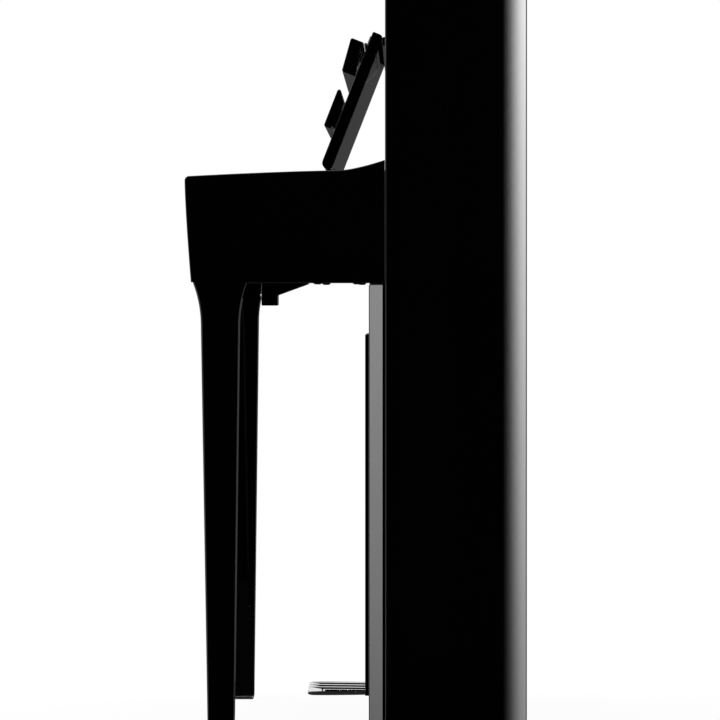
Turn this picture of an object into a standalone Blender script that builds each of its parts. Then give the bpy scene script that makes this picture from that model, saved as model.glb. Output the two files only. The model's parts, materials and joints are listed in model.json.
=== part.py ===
"""Compact upright hybrid piano: cabinet, folding key lid, full keyboard, hammers, pedals.

Metres, +Z up. The player sits at -Y and faces +Y, the treble end is +X.
The origin is on the floor, under the centre of the piano's box.
"""

from math import acos, asin, atan2, cos, hypot, pi, radians, sin

import bmesh
import bpy
from mathutils import Vector

# Overall
WIDTH = 1.501
DEPTH = 0.463
HEIGHT = 1.024
SEAT = 0.0003
FRONT = -DEPTH / 2
BACK = DEPTH / 2
HALF = WIDTH / 2
KEY_ZONE = 0.271
SIDE_FRONT = FRONT + KEY_ZONE

# Side panels and the boards between them
SIDE_T = 0.030
SIDE_EDGE = 0.0012
FOOT_H = 0.005
FOOT_L = 0.030
TOP_T = 0.020
BOARD_EDGE = 0.0012
PANEL_T = 0.018
PANEL_SETBACK = 0.001
BACK_T = 0.006
BACK_INSET = 0.003
BOTTOM_T = 0.018
BOTTOM_Z = 0.012

# Keybed and arms
ABOVE_KEYBED = 0.387
KEYBED_Z = HEIGHT - ABOVE_KEYBED
KEYBED_T = 0.022
KEYBED_BACK_GAP = 0.0265
KEYBED_REAR = BACK - KEYBED_BACK_GAP
ARM_T = 0.035
ARM_FRONT_H = 0.1438
ARM_MID_H = 0.1515
ARM_SWEEP_L = 0.0615
ARM_FRONT_Z = KEYBED_Z + ARM_FRONT_H
ARM_MID_Z = KEYBED_Z + ARM_MID_H
ARM_SWEEP_Y = SIDE_FRONT - ARM_SWEEP_L
ARM_SWEEP_RISE = 0.0145
ARM_TOE = 0.0085
ARM_NOSE_R = 0.0085
ARM_EDGE = 0.0012

# Legs
LEG_W = 0.075
LEG_FRONT_GAP = 0.0315
LEG_FOOT_D = 0.0350
LEG_NECK_D = 0.0515
LEG_HEAD_D = 0.0735
LEG_FLARE_H = 0.062
LEG_FOOT_W = 0.058
LEG_LEAN = 0.0095
PAD_H = 0.0045
PAD_INSET = 0.0008

# Lower front board, pedal panel
LOWER_T = 0.0219
LOWER_FRONT = SIDE_FRONT - LOWER_T
LOWER_GAP = 0.0035
LOWER_CHAMFER = 0.003
LOWER_SIDE_INSET = 0.002
PEDAL_PANEL_RISE = 0.0078
PEDAL_PANEL_W = 0.410
PEDAL_PANEL_Z = 0.0505
PEDAL_PANEL_BELOW = 0.074
PEDAL_PANEL_TOP = KEYBED_Z - PEDAL_PANEL_BELOW
PEDAL_PANEL_R = 0.006

# Keys
NATURALS = 52
OCTAVE_NATURALS = 7
BLOCK_ZONE = 0.1045
KEY_PITCH = (WIDTH - 2 * (ARM_T + BLOCK_ZONE)) / NATURALS
KEY_GAP = 0.001
KEY_SETBACK = 0.0325
KEY_RISE = 0.088
KEY_TAIL_ROOM = 0.054
KEY_FRONT = FRONT + KEY_SETBACK
KEY_TOP = KEYBED_Z + KEY_RISE
KEY_REAR = KEYBED_REAR - KEY_TAIL_ROOM
HEAD_LENGTH = 0.050
VISIBLE_LENGTH = 0.150
STICK_H = 0.022
SHARP_RISE = 0.0125
SHARP_FRONT_GAP = 0.0024
SHARP_SLOPE = 0.006
SHARP_TAPER = 0.0008
NATURAL_EDGE = 0.0015
PIVOT_BACK = 0.220
SHARP_PIVOT_STEP = 0.013
SHARP_RELIEF = 0.0016
SHARP_BOSS = 0.0008
SHARP_BOSS_L = 0.006
SHAFT_SINK = 0.0005
KEY_DIP = 0.010
DIP_ROOM = 0.0012

# Key frame
BEAD_R = 0.004
RAIL_D = 0.026
FRAME_BASE = 0.006
FRAME_SIDE_GAP = 0.002
SENSOR_D = 0.040
SENSOR_T = 0.0016

# Key slip and key blocks
SLIP_T = 0.018
SLIP_H = 0.074
SLIP_TOP = KEYBED_Z + SLIP_H
SLIP_NOSE = 0.009
BLOCK_GAP = 0.0012
BLOCK_LOW_H = 0.103
BLOCK_LOW_TOP = KEYBED_Z + BLOCK_LOW_H
LID_SIDE_GAP = 0.0025

# Key lid, in its own frame: along the lid from its hinge, and square to it
LID_LEAN = radians(21.4)
LID_T = 0.016
LID_LENGTH = 0.1957
LID_OVERHANG = 0.019
LID_HINGE_OFF = 0.003
LID_PIVOT_AHEAD = 0.0703
LID_PIVOT_Y = SIDE_FRONT - LID_PIVOT_AHEAD
LID_PIVOT_RISE = 0.0021
LID_ROOT_DROP = 0.002
LID_NOSE_R = 0.0065
LID_CLOSE = radians(113.5)
BARREL_R = 0.0024
LEAF_T = 0.0012
LEAF_W = 0.014
RAIL_GAP = 0.0035
LID_RAIL_T = 0.0225
LID_RAIL_DROP = 0.0014
NAME_STRIP_T = 0.012
NAME_STRIP_LIFT = 0.003

# Lip folded on the front of the lid
LIP_HINGE_DOWN = 0.0194
LIP_HINGE_U = LID_LENGTH - LIP_HINGE_DOWN
LIP_HINGE_OUT = 0.0034
LIP_TOP_PAST = 0.0008
LIP_LENGTH = 0.0475
LIP_T_ROOT = 0.0168
LIP_T_TIP = 0.0200
LIP_ROOT_GAP = 0.0080
LIP_SEAT = 0.0005

# Music ledge folded on the lid
LEDGE_HINGE_U = 0.0535
LEDGE_HINGE_OUT = 0.0042
LEDGE_ROOT_R = 0.0030
LEDGE_T = 0.0150
LEDGE_LENGTH = 0.0522
LEDGE_TAPER = 0.016
LEDGE_TIP_T = 0.0055
LEDGE_INSET = 0.010

# Long hinges of lip and ledge
SMALL_LEAF_T = 0.0013
SMALL_LEAF_W = 0.013
SMALL_BARREL_R = 0.0021
SMALL_HINGE_INSET = 0.020

# Stop rail above the lid
STOP_RISE = 0.3205
STOP_Z = KEYBED_Z + STOP_RISE
STOP_H = 0.012

# Controls on the bass key block
PLATE_T = 0.0024
PLATE_L = 0.130
PLATE_W = 0.060
PLATE_RECESS = 0.4 * PLATE_T
PLATE_FRONT_GAP = 0.0072
BUTTON_R = 0.0048
BUTTON_PROUD = 0.0022
BUTTON_TRAVEL = 0.0012
BUTTON_GAP = 0.0004
BUTTON_PITCH = 0.018
SLIDER_TRAVEL = 0.015
SLIDER_SLOT_W = 0.003
SLIDER_CAP = 0.010
SLIDER_CAP_H = 0.005
DISPLAY_L = 0.030
DISPLAY_W = 0.022
WELL_DEPTH = 0.010

# Action
ACTION_BACK_GAP = 0.1075
ACTION_RISE = 0.153
ACTION_Y = BACK - ACTION_BACK_GAP
ACTION_Z = KEYBED_Z + ACTION_RISE
ACTION_RAIL_T = 0.016
BRACKET_T = 0.012
HAMMER_H = 0.130
HAMMER_W = 0.008
SHANK_T = 0.006
HAMMER_HEAD = 0.024
ACTION_STOP_GAP = 0.012

# Electronics
WOOFER_R = 0.078
WOOFER_FRAME = 0.007
WOOFER_DEPTH = 0.055
WOOFER_END_GAP = 0.3305
WOOFER_X = HALF - WOOFER_END_GAP
WOOFER_Z = 0.300
BOARD_L = 0.260
BOARD_H = 0.150
BOARD_STAND = 0.012
AMP_DROP = 0.307
AMP_Z = KEYBED_Z - AMP_DROP
INLET_W = 0.090
INLET_H = 0.060
INLET_Z = 0.110
INLET_END_GAP = 0.1905
INLET_X = INLET_END_GAP - HALF
SOCKET_W = 0.027
SOCKET_H = 0.020
SOCKET_D = 0.012
INLET_PROUD = 0.0022

# Headphone housing under the keybed
PHONES_END_GAP = 0.1905
PHONES_X = PHONES_END_GAP - HALF
PHONES_W = 0.110
PHONES_SETBACK = 0.0815
PHONES_FRONT = FRONT + PHONES_SETBACK
PHONES_FLAT = 0.0245
PHONES_DEPTH = 0.034
PHONES_BACK_Z = 0.0185
PHONES_LENGTH = 0.071
PHONES_REAR = PHONES_FRONT + PHONES_LENGTH
JACK_R = 0.0035
JACK_DEPTH = 0.014
JACK_PITCH = 0.030

# Screws under the keybed
SCREW_R = 0.0068
SCREW_H = 0.0028
SCREW_END_GAP = 0.1505
SCREW_X = HALF - SCREW_END_GAP
SCREW_AHEAD = 0.0385
SCREW_PITCH = 0.054
SCREW_ROWS = (SIDE_FRONT - SCREW_AHEAD - SCREW_PITCH, SIDE_FRONT - SCREW_AHEAD)

# Pedals
PEDAL_PITCH = 0.070
PEDAL_REACH = 0.0911
PEDAL_TIP = LOWER_FRONT - PEDAL_REACH
PEDAL_TOP = 0.0605
PEDAL_T = 0.0185
PEDAL_W = 0.026
PEDAL_ROOT_W = 0.020
PEDAL_ROOT_T = 0.010
PEDAL_DIP = radians(6.5)
AXLE_BEHIND = 0.0405
AXLE_Y = SIDE_FRONT + AXLE_BEHIND
AXLE_R = 0.004
AXLE_GAP = 0.0004
BOSS_R = 0.0088
CHEEK_T = 0.010
CHEEK_GAP = 0.012
SLOT_GAP = 0.003

# Derived places
SIDE_IN = HALF - SIDE_T
BETWEEN = SIDE_IN - SEAT
ARM_IN = HALF - ARM_T
ARM_BETWEEN = ARM_IN - SEAT
KEYBED_TOP = KEYBED_Z + KEYBED_T
TOP_UNDER = HEIGHT - TOP_T
PANEL_FRONT = SIDE_FRONT + PANEL_SETBACK
BACK_Y = BACK - BACK_INSET - BACK_T
LID_PIVOT_Z = ARM_MID_Z + LID_PIVOT_RISE
RAIL_TOP = LID_PIVOT_Z - LID_RAIL_DROP
RAIL_UNDER = RAIL_TOP - LID_RAIL_T
BLOCK_TOP = RAIL_UNDER - SEAT
SLIP_FRONT = FRONT + SLIP_NOSE
SLIP_BACK = SLIP_FRONT + SLIP_T
KEYBOARD_HALF = NATURALS * KEY_PITCH / 2
LID_HALF = KEYBOARD_HALF + LID_OVERHANG
LEDGE_HALF = LID_HALF - LEDGE_INSET
KEY_UNDER = KEY_TOP - STICK_H
PIVOT_Y = KEY_FRONT + PIVOT_BACK
PIVOT_Z = KEY_UNDER - SEAT
SHARP_PIVOT_Y = PIVOT_Y + SHARP_PIVOT_STEP
PEDAL_AXIS_Z = PEDAL_TOP - PEDAL_T / 2
PEDAL_PANEL_FRONT = LOWER_FRONT - PEDAL_PANEL_RISE
PITCH_NAMES = ("c", "d", "e", "f", "g", "a", "b")
SHARPS_AFTER = "cdfga"


def clear_scene():
    for obj in list(bpy.data.objects):
        bpy.data.objects.remove(obj, do_unlink=True)


def material(name, color, roughness, metallic=0.0):
    """One Principled material for each finish, made once."""
    found = bpy.data.materials.get(name)
    if found:
        return found
    made = bpy.data.materials.new(name)
    made.use_nodes = True
    shader = made.node_tree.nodes["Principled BSDF"]
    shader.inputs["Base Color"].default_value = (*color, 1.0)
    shader.inputs["Roughness"].default_value = roughness
    shader.inputs["Metallic"].default_value = metallic
    made.diffuse_color = (*color, 1.0)
    return made


FINISHES = {
    "polished_black": ((0.008, 0.008, 0.008), 0.05, 0.0),
    "satin_black": ((0.02, 0.02, 0.02), 0.45, 0.0),
    "satin_edge": ((0.16, 0.16, 0.16), 0.5, 0.0),
    "key_white": ((0.83, 0.81, 0.76), 0.25, 0.0),
    "key_black": ((0.012, 0.012, 0.012), 0.4, 0.0),
    "chrome": ((0.75, 0.75, 0.74), 0.12, 1.0),
    "steel": ((0.45, 0.45, 0.46), 0.35, 1.0),
    "felt": ((0.03, 0.03, 0.035), 0.95, 0.0),
    "wood": ((0.55, 0.38, 0.22), 0.6, 0.0),
    "board_green": ((0.03, 0.18, 0.08), 0.5, 0.0),
    "plastic": ((0.03, 0.03, 0.03), 0.4, 0.0),
    "rubber": ((0.02, 0.02, 0.02), 0.8, 0.0),
    "window": ((0.01, 0.01, 0.012), 0.08, 0.0),
}


def add(name, mesh_maker, finish, origin=(0.0, 0.0, 0.0), smooth=False):
    """Puts a bmesh, made in world coordinates, in the scene with its origin where stated."""
    bm = mesh_maker
    bmesh.ops.translate(bm, verts=bm.verts, vec=-Vector(origin))
    bmesh.ops.recalc_face_normals(bm, faces=bm.faces)
    mesh = bpy.data.meshes.new(name)
    bm.to_mesh(mesh)
    bm.free()
    if smooth:
        mesh.shade_smooth()
        mesh.set_sharp_from_angle(angle=radians(35))
    obj = bpy.data.objects.new(name, mesh)
    obj.location = origin
    obj.data.materials.append(material(finish, *FINISHES[finish]))
    bpy.context.scene.collection.objects.link(obj)
    return obj


def bevelled(obj, width, segments=1, angle=30):
    bevel = obj.modifiers.new("edges", "BEVEL")
    bevel.width = width
    bevel.segments = segments
    bevel.limit_method = "ANGLE"
    bevel.angle_limit = radians(angle)
    return obj


def cutter(name, bm):
    """A solid that only cuts: it isn't part of the piano."""
    bmesh.ops.recalc_face_normals(bm, faces=bm.faces)
    mesh = bpy.data.meshes.new(name)
    bm.to_mesh(mesh)
    bm.free()
    obj = bpy.data.objects.new(name, mesh)
    obj.hide_render = True
    obj.display_type = "WIRE"
    bpy.context.scene.collection.objects.link(obj)
    return obj


def boolean(obj, other, operation):
    step = obj.modifiers.new(operation.lower(), "BOOLEAN")
    step.operation = operation
    step.solver = "EXACT"
    step.object = other
    return obj


def box(low, high, bm=None):
    bm = bm or bmesh.new()
    made = bmesh.ops.create_cube(bm, size=1.0)["verts"]
    size = [b - a for a, b in zip(low, high)]
    middle = [(a + b) / 2 for a, b in zip(low, high)]
    bmesh.ops.scale(bm, verts=made, vec=size)
    bmesh.ops.translate(bm, verts=made, vec=middle)
    return bm


def prism(outline, start, end, place, bm=None):
    """Extrudes a closed 2D outline; place(a, b, t) gives the point at depth t."""
    bm = bm or bmesh.new()
    first = [bm.verts.new(place(a, b, start)) for a, b in outline]
    last = [bm.verts.new(place(a, b, end)) for a, b in outline]
    count = len(outline)
    bm.faces.new(first)
    bm.faces.new(reversed(last))
    for i in range(count):
        j = (i + 1) % count
        bm.faces.new((first[j], first[i], last[i], last[j]))
    return bm


def across(a, b, t):
    """Outline in the side view (Y, Z), extruded along X."""
    return (t, a, b)


def upward(a, b, t):
    """Outline in the plan (X, Y), extruded along Z."""
    return (a, b, t)


def along(a, b, t):
    """Outline in the front view (X, Z), extruded along Y."""
    return (a, t, b)


def arc(center, radius, start, end, steps):
    """Points of an arc in degrees, both ends included."""
    return [
        (
            center[0] + radius * cos(radians(start + (end - start) * i / steps)),
            center[1] + radius * sin(radians(start + (end - start) * i / steps)),
        )
        for i in range(steps + 1)
    ]


def loft(rings, bm=None):
    """Skins a row of closed rings with the same number of points, with flat ends."""
    bm = bm or bmesh.new()
    skins = [[bm.verts.new(p) for p in ring] for ring in rings]
    bm.faces.new(skins[0])
    bm.faces.new(reversed(skins[-1]))
    for near, far in zip(skins, skins[1:]):
        for i in range(len(near)):
            j = (i + 1) % len(near)
            bm.faces.new((near[j], near[i], far[i], far[j]))
    return bm


def turned(profile, center, axis, sides, bm=None):
    """Revolves (radius, height) points round an axis through center; radius 0 closes it."""
    bm = bm or bmesh.new()
    side = Vector((0, 0, 1)).cross(axis)
    side = side.normalized() if side.length > 0.5 else Vector((1, 0, 0))
    other = Vector(axis).cross(side)
    rings = []
    for radius, height in profile:
        base = Vector(center) + Vector(axis) * height
        if radius == 0:
            rings.append([bm.verts.new(base)])
            continue
        turn = [2 * pi * i / sides for i in range(sides)]
        rings.append([bm.verts.new(base + radius * (side * cos(t) + other * sin(t))) for t in turn])
    for near, far in zip(rings, rings[1:]):
        for i in range(sides):
            j = (i + 1) % sides
            if len(near) == 1:
                bm.faces.new((near[0], far[i], far[j]))
            elif len(far) == 1:
                bm.faces.new((near[j], near[i], far[0]))
            else:
                bm.faces.new((near[j], near[i], far[i], far[j]))
    return bm


def rod(radius, start, end, sides, bm=None):
    """A closed cylinder between two points on a line along X, Y or Z."""
    length = (Vector(end) - Vector(start)).length
    axis = (Vector(end) - Vector(start)).normalized()
    profile = ((0, 0), (radius, 0), (radius, length), (0, length))
    return turned(profile, start, axis, sides, bm)


# Cabinet


def side_panels():
    """Full-height ends; each stands on two low feet."""
    front_foot = SIDE_FRONT + FOOT_L
    rear_foot = BACK - FOOT_L
    outline = [
        (SIDE_FRONT, HEIGHT),
        (SIDE_FRONT, 0),
        (front_foot, 0),
        (front_foot + FOOT_H, FOOT_H),
        (rear_foot - FOOT_H, FOOT_H),
        (rear_foot, 0),
        (BACK, 0),
        (BACK, HEIGHT),
    ]
    for name, sign in (("side_panel_treble", 1), ("side_panel_bass", -1)):
        near, far = sorted((sign * SIDE_IN, sign * HALF))
        bevelled(add(name, prism(outline, near, far, across), "polished_black"), SIDE_EDGE)


def top_board():
    low = (-BETWEEN, SIDE_FRONT, TOP_UNDER)
    bevelled(add("top_board", box(low, (BETWEEN, BACK, HEIGHT)), "polished_black"), BOARD_EDGE)


def upper_front_panel():
    low = (-BETWEEN, PANEL_FRONT, RAIL_TOP + SEAT)
    high = (BETWEEN, PANEL_FRONT + PANEL_T, TOP_UNDER - SEAT)
    bevelled(add("upper_front_panel", box(low, high), "polished_black"), BOARD_EDGE)


def back_panel():
    """Thin back, with a round hole for each woofer and a window for the inlet."""
    low = (-BETWEEN, BACK_Y, BOTTOM_Z)
    back = add("back_panel", box(low, (BETWEEN, BACK_Y + BACK_T, TOP_UNDER - SEAT)), "satin_black")
    holes = bmesh.new()
    for x in (-WOOFER_X, WOOFER_X):
        start = (x, BACK_Y - BACK_T, WOOFER_Z)
        rod(WOOFER_R - WOOFER_FRAME, start, (x, BACK_Y + 2 * BACK_T, WOOFER_Z), 24, holes)
    box(
        (INLET_X - INLET_W / 2 + WOOFER_FRAME, BACK_Y - BACK_T, INLET_Z - INLET_H / 2 + WOOFER_FRAME),
        (INLET_X + INLET_W / 2 - WOOFER_FRAME, BACK_Y + 2 * BACK_T, INLET_Z + INLET_H / 2 - WOOFER_FRAME),
        holes,
    )
    boolean(back, cutter("back_holes", holes), "DIFFERENCE")


def bottom_board():
    low = (-BETWEEN, SIDE_FRONT, BOTTOM_Z)
    high = (BETWEEN, BACK_Y - SEAT, BOTTOM_Z + BOTTOM_T)
    add("bottom_board", box(low, high), "satin_black")


def lower_front_board():
    """The tall board below the keybed, with chamfered rear corners and a slot for each pedal."""
    end = HALF - LOWER_SIDE_INSET
    rear = SIDE_FRONT - SEAT
    edge = BOARD_EDGE
    outline = (
        (-end + edge, LOWER_FRONT),
        (end - edge, LOWER_FRONT),
        (end, LOWER_FRONT + edge),
        (end, rear - LOWER_CHAMFER),
        (end - LOWER_CHAMFER, rear),
        (-end + LOWER_CHAMFER, rear),
        (-end, rear - LOWER_CHAMFER),
        (-end, LOWER_FRONT + edge),
    )
    shape = prism(outline, BOTTOM_Z, KEYBED_Z - LOWER_GAP, upward)
    board = add("lower_front_board", shape, "polished_black")
    slots = bmesh.new()
    for middle in pedal_places():
        half = PEDAL_W / 2 + SLOT_GAP
        box((middle - half, PEDAL_PANEL_FRONT, slot_low()), (middle + half, AXLE_Y, slot_high()), slots)
    boolean(board, cutter("pedal_slots", slots), "DIFFERENCE")


def pedal_places():
    return [PEDAL_PITCH * i for i in (-1, 0, 1)]


def slot_low():
    return PEDAL_TOP - PEDAL_T - SLOT_GAP - sin(PEDAL_DIP) * (AXLE_Y - PEDAL_PANEL_FRONT)


def slot_high():
    return PEDAL_TOP + SLOT_GAP


def pedal_panel():
    """The raised centre panel, notched over the pedals along its lower edge."""
    half = PEDAL_PANEL_W / 2
    low = PEDAL_PANEL_Z
    top = PEDAL_PANEL_TOP
    notch = PEDAL_W / 2 + SLOT_GAP
    outline = [(-half, low)]
    for middle in pedal_places():
        outline += [(middle - notch, low), (middle - notch, slot_high())]
        outline += [(middle + notch, slot_high()), (middle + notch, low)]
    outline += [(half, low)]
    outline += arc((half - PEDAL_PANEL_R, top - PEDAL_PANEL_R), PEDAL_PANEL_R, 0, 90, 3)
    outline += arc((-half + PEDAL_PANEL_R, top - PEDAL_PANEL_R), PEDAL_PANEL_R, 90, 180, 3)
    shape = prism(outline, PEDAL_PANEL_FRONT, LOWER_FRONT - SEAT, along)
    add("pedal_panel", shape, "polished_black")


def keybed():
    """Board under the keyboard, with the dome heads of the screws that hold it."""
    low = (-ARM_BETWEEN, SLIP_BACK + SEAT, KEYBED_Z)
    board = add("keybed", box(low, (ARM_BETWEEN, KEYBED_REAR, KEYBED_TOP)), "satin_black")
    heads = bmesh.new()
    profile = (
        (0, -SCREW_H),
        (SCREW_R, -SCREW_H),
        (SCREW_R, SCREW_H * 0.35),
        (SCREW_R * 0.6, SCREW_H),
        (0, SCREW_H),
    )
    for x in (-SCREW_X, SCREW_X):
        for y in SCREW_ROWS:
            turned(profile, (x, y, KEYBED_Z), (0, 0, -1), 10, heads)
    boolean(board, cutter("screw_heads", heads), "UNION")


def arm_top(y):
    """Height of an arm's upper edge: a slow rise, then a hollow sweep up to the cabinet."""
    start = FRONT + ARM_NOSE_R
    share = min((y - start) / (ARM_SWEEP_Y - start), 1.0)
    height = ARM_FRONT_Z + (ARM_MID_Z - ARM_FRONT_Z) * (1 - (1 - share) ** 1.4)
    if y > ARM_SWEEP_Y:
        height += ARM_SWEEP_RISE * ((y - ARM_SWEEP_Y) / (SIDE_FRONT - ARM_SWEEP_Y)) ** 1.5
    return height


def arm_front(z):
    """The bulging front edge of an arm, furthest forward near the top."""
    share = max(0.0, 1 - (z - KEYBED_Z) / (ARM_FRONT_Z - ARM_NOSE_R - KEYBED_Z))
    return FRONT + ARM_TOE * share**1.35


def arms():
    rear = SIDE_FRONT - SEAT
    nose_z = ARM_FRONT_Z - ARM_NOSE_R
    outline = [(rear, KEYBED_Z)]
    outline += [(arm_front(z), z) for z in spaced(KEYBED_Z, nose_z, 5)][:-1]
    outline += arc((FRONT + ARM_NOSE_R, nose_z), ARM_NOSE_R, 180, 90, 4)
    outline += [(y, arm_top(y)) for y in spaced(FRONT + ARM_NOSE_R, ARM_SWEEP_Y, 4)][1:]
    outline += [(y, arm_top(y)) for y in spaced(ARM_SWEEP_Y, rear, 6)][1:]
    for name, sign in (("arm_treble", 1), ("arm_bass", -1)):
        near, far = sorted((sign * ARM_IN, sign * HALF))
        bevelled(add(name, prism(outline, near, far, across), "polished_black"), ARM_EDGE, angle=40)


def spaced(start, end, steps):
    return [start + (end - start) * i / steps for i in range(steps + 1)]


def leg_rings(sign):
    """Rounded rectangles from the foot to the flared head; the outer face stays flush."""
    foot = PAD_H + SEAT
    head = KEYBED_Z - SEAT
    neck = head - LEG_FLARE_H
    outer = sign * HALF
    rings = []
    for z in (foot, *spaced(neck, head, 5)):
        rise = (z - foot) / (neck - foot)
        grow = min(rise, 1.0)
        flare = max(0.0, (z - neck) / LEG_FLARE_H) ** 2.2
        depth = LEG_FOOT_D + (LEG_NECK_D - LEG_FOOT_D) * grow + (LEG_HEAD_D - LEG_NECK_D) * flare
        front = FRONT + LEG_FRONT_GAP - LEG_LEAN * grow
        front -= (LEG_HEAD_D - LEG_NECK_D) / 2 * flare
        width = LEG_FOOT_W + (LEG_W - LEG_FOOT_W) * grow
        inner = outer - sign * width
        corner = BOARD_EDGE * 2
        low_x, high_x = sorted((inner, outer))
        rings.append(
            [
                (low_x + corner, front, z),
                (high_x - corner, front, z),
                (high_x, front + corner, z),
                (high_x, front + depth - corner, z),
                (high_x - corner, front + depth, z),
                (low_x + corner, front + depth, z),
                (low_x, front + depth - corner, z),
                (low_x, front + corner, z),
            ]
        )
    return rings


def legs():
    for name, sign in (("leg_treble", 1), ("leg_bass", -1)):
        add(name, loft(leg_rings(sign)), "polished_black")


def leg_pads():
    """A thin pad with a rounded rim under each leg."""
    for name, sign in (("leg_pad_treble", 1), ("leg_pad_bass", -1)):
        foot = leg_rings(sign)[0]
        middle = Vector((sum(p[0] for p in foot) / 8, sum(p[1] for p in foot) / 8, 0))
        rings = []
        for z, inset in ((0, PAD_INSET * 3), (PAD_H * 0.35, PAD_INSET), (PAD_H, PAD_INSET)):
            ring = []
            for x, y, _ in foot:
                away = Vector((x, y, 0)) - middle
                point = middle + away * (1 - inset / away.length)
                ring.append((point.x, point.y, z))
            rings.append(ring)
        add(name, loft(rings), "rubber")


# Keyboard


def octave_cuts(name):
    """Where the tail of a natural starts and ends, as shares of its octave half's width.

    The half from c to e has five equal slots and the half from f to b has seven.
    """
    if name in "cde":
        index = "cde".index(name)
        return 3.0, 5.0, 2 * index, index
    index = "fgab".index(name)
    return 4.0, 7.0, 2 * index, index


def natural_tail(name, left):
    """Left and right edges of a natural's narrow tail, before the gap is taken off."""
    naturals, slots, slot, index = octave_cuts(name)
    start = left - index * KEY_PITCH
    slot_width = naturals * KEY_PITCH / slots
    return start + slot * slot_width, start + (slot + 1) * slot_width


def natural_outline(name, left, first, last):
    """Plan of a natural: wide head, narrow tail between the sharps."""
    right = left + KEY_PITCH
    tail_left, tail_right = natural_tail(name, left)
    if first:
        tail_left = left
    if last:
        tail_left, tail_right = left, right
    shoulder = KEY_FRONT + HEAD_LENGTH
    gap = KEY_GAP / 2
    outline = [(left + gap, KEY_FRONT), (right - gap, KEY_FRONT)]
    if right - tail_right > gap:
        outline += [(right - gap, shoulder)]
        outline += [(tail_right - gap, shoulder + gap)]
    outline += [(tail_right - gap, KEY_REAR), (tail_left + gap, KEY_REAR)]
    if tail_left - left > gap:
        outline += [(tail_left + gap, shoulder + gap), (left + gap, shoulder)]
    return outline


def natural_into(bm, name, left, first, last):
    """One natural, its front upper edge broken."""
    outline = natural_outline(name, left, first, last)
    low = [bm.verts.new((x, y, KEY_UNDER)) for x, y in outline]
    edge = [bm.verts.new((x, y, KEY_TOP - NATURAL_EDGE * (y == KEY_FRONT))) for x, y in outline]
    count = len(outline)
    back = [
        bm.verts.new((x, y + NATURAL_EDGE, KEY_TOP)) for x, y in outline[:2]
    ]
    bm.faces.new(reversed(low))
    bm.faces.new((edge[0], edge[1], back[1], back[0]))
    bm.faces.new([back[0], back[1], *edge[2:]])
    for i in range(count):
        j = (i + 1) % count
        side = [low[i], low[j], edge[j], edge[i]]
        if i == 1:
            side = [low[1], low[2], edge[2], back[1], edge[1]]
        if j == 0:
            side = [low[i], low[0], edge[0], back[0], edge[i]]
        bm.faces.new(side)


def sharp_into(bm, left, right):
    """One sharp: a raised, tapered playing block on a stick relieved in front of its own pivot."""
    front = KEY_FRONT + HEAD_LENGTH + SHARP_FRONT_GAP
    end = KEY_FRONT + VISIBLE_LENGTH
    top = KEY_TOP + SHARP_RISE
    relief = KEY_UNDER + SHARP_RELIEF
    boss = KEY_UNDER - SHARP_BOSS
    half = SHARP_BOSS_L / 2
    sides = []
    for x, inset in ((left + KEY_GAP / 2, SHARP_TAPER), (right - KEY_GAP / 2, -SHARP_TAPER)):
        outline = [
            (x, front, relief),
            (x, SHARP_PIVOT_Y - half, relief),
            (x, SHARP_PIVOT_Y - half, boss),
            (x, SHARP_PIVOT_Y + half, boss),
            (x, SHARP_PIVOT_Y + half, KEY_UNDER),
            (x, KEY_REAR, KEY_UNDER),
            (x, KEY_REAR, KEY_TOP),
            (x, end, KEY_TOP),
            (x, front, KEY_TOP),
            (x + inset, end, top),
            (x + inset, front + SHARP_SLOPE, top),
        ]
        sides.append([bm.verts.new(point) for point in outline])
    one, two = sides
    bm.faces.new(one[:9])
    bm.faces.new(two[8::-1])
    bm.faces.new([one[i] for i in (8, 7, 9, 10)])
    bm.faces.new([two[i] for i in (10, 9, 7, 8)])
    rim = [0, 1, 2, 3, 4, 5, 6, 7, 9, 10, 8]
    for i, j in zip(rim, rim[1:] + rim[:1]):
        bm.faces.new((one[j], one[i], two[i], two[j]))


def key_plan():
    """Every key from the lowest a to the highest c: (kind, octave, pitch, natural's left edge)."""
    plan = []
    for n in range(NATURALS):
        pitch = PITCH_NAMES[(n + 5) % OCTAVE_NATURALS]
        octave = (n + 5) // OCTAVE_NATURALS
        left = -KEYBOARD_HALF + n * KEY_PITCH
        plan.append(("natural", octave, pitch, left))
        if pitch in SHARPS_AFTER and n < NATURALS - 1:
            plan.append(("sharp", octave, pitch, left))
    return plan


def sharp_slot(pitch, left):
    """The slot between a natural's tail and the next one's."""
    naturals, slots, slot, index = octave_cuts(pitch)
    start = left - index * KEY_PITCH
    slot_width = naturals * KEY_PITCH / slots
    return start + (slot + 1) * slot_width, start + (slot + 2) * slot_width


def pivot_of(kind):
    return (0, PIVOT_Y if kind == "natural" else SHARP_PIVOT_Y, PIVOT_Z)


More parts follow.
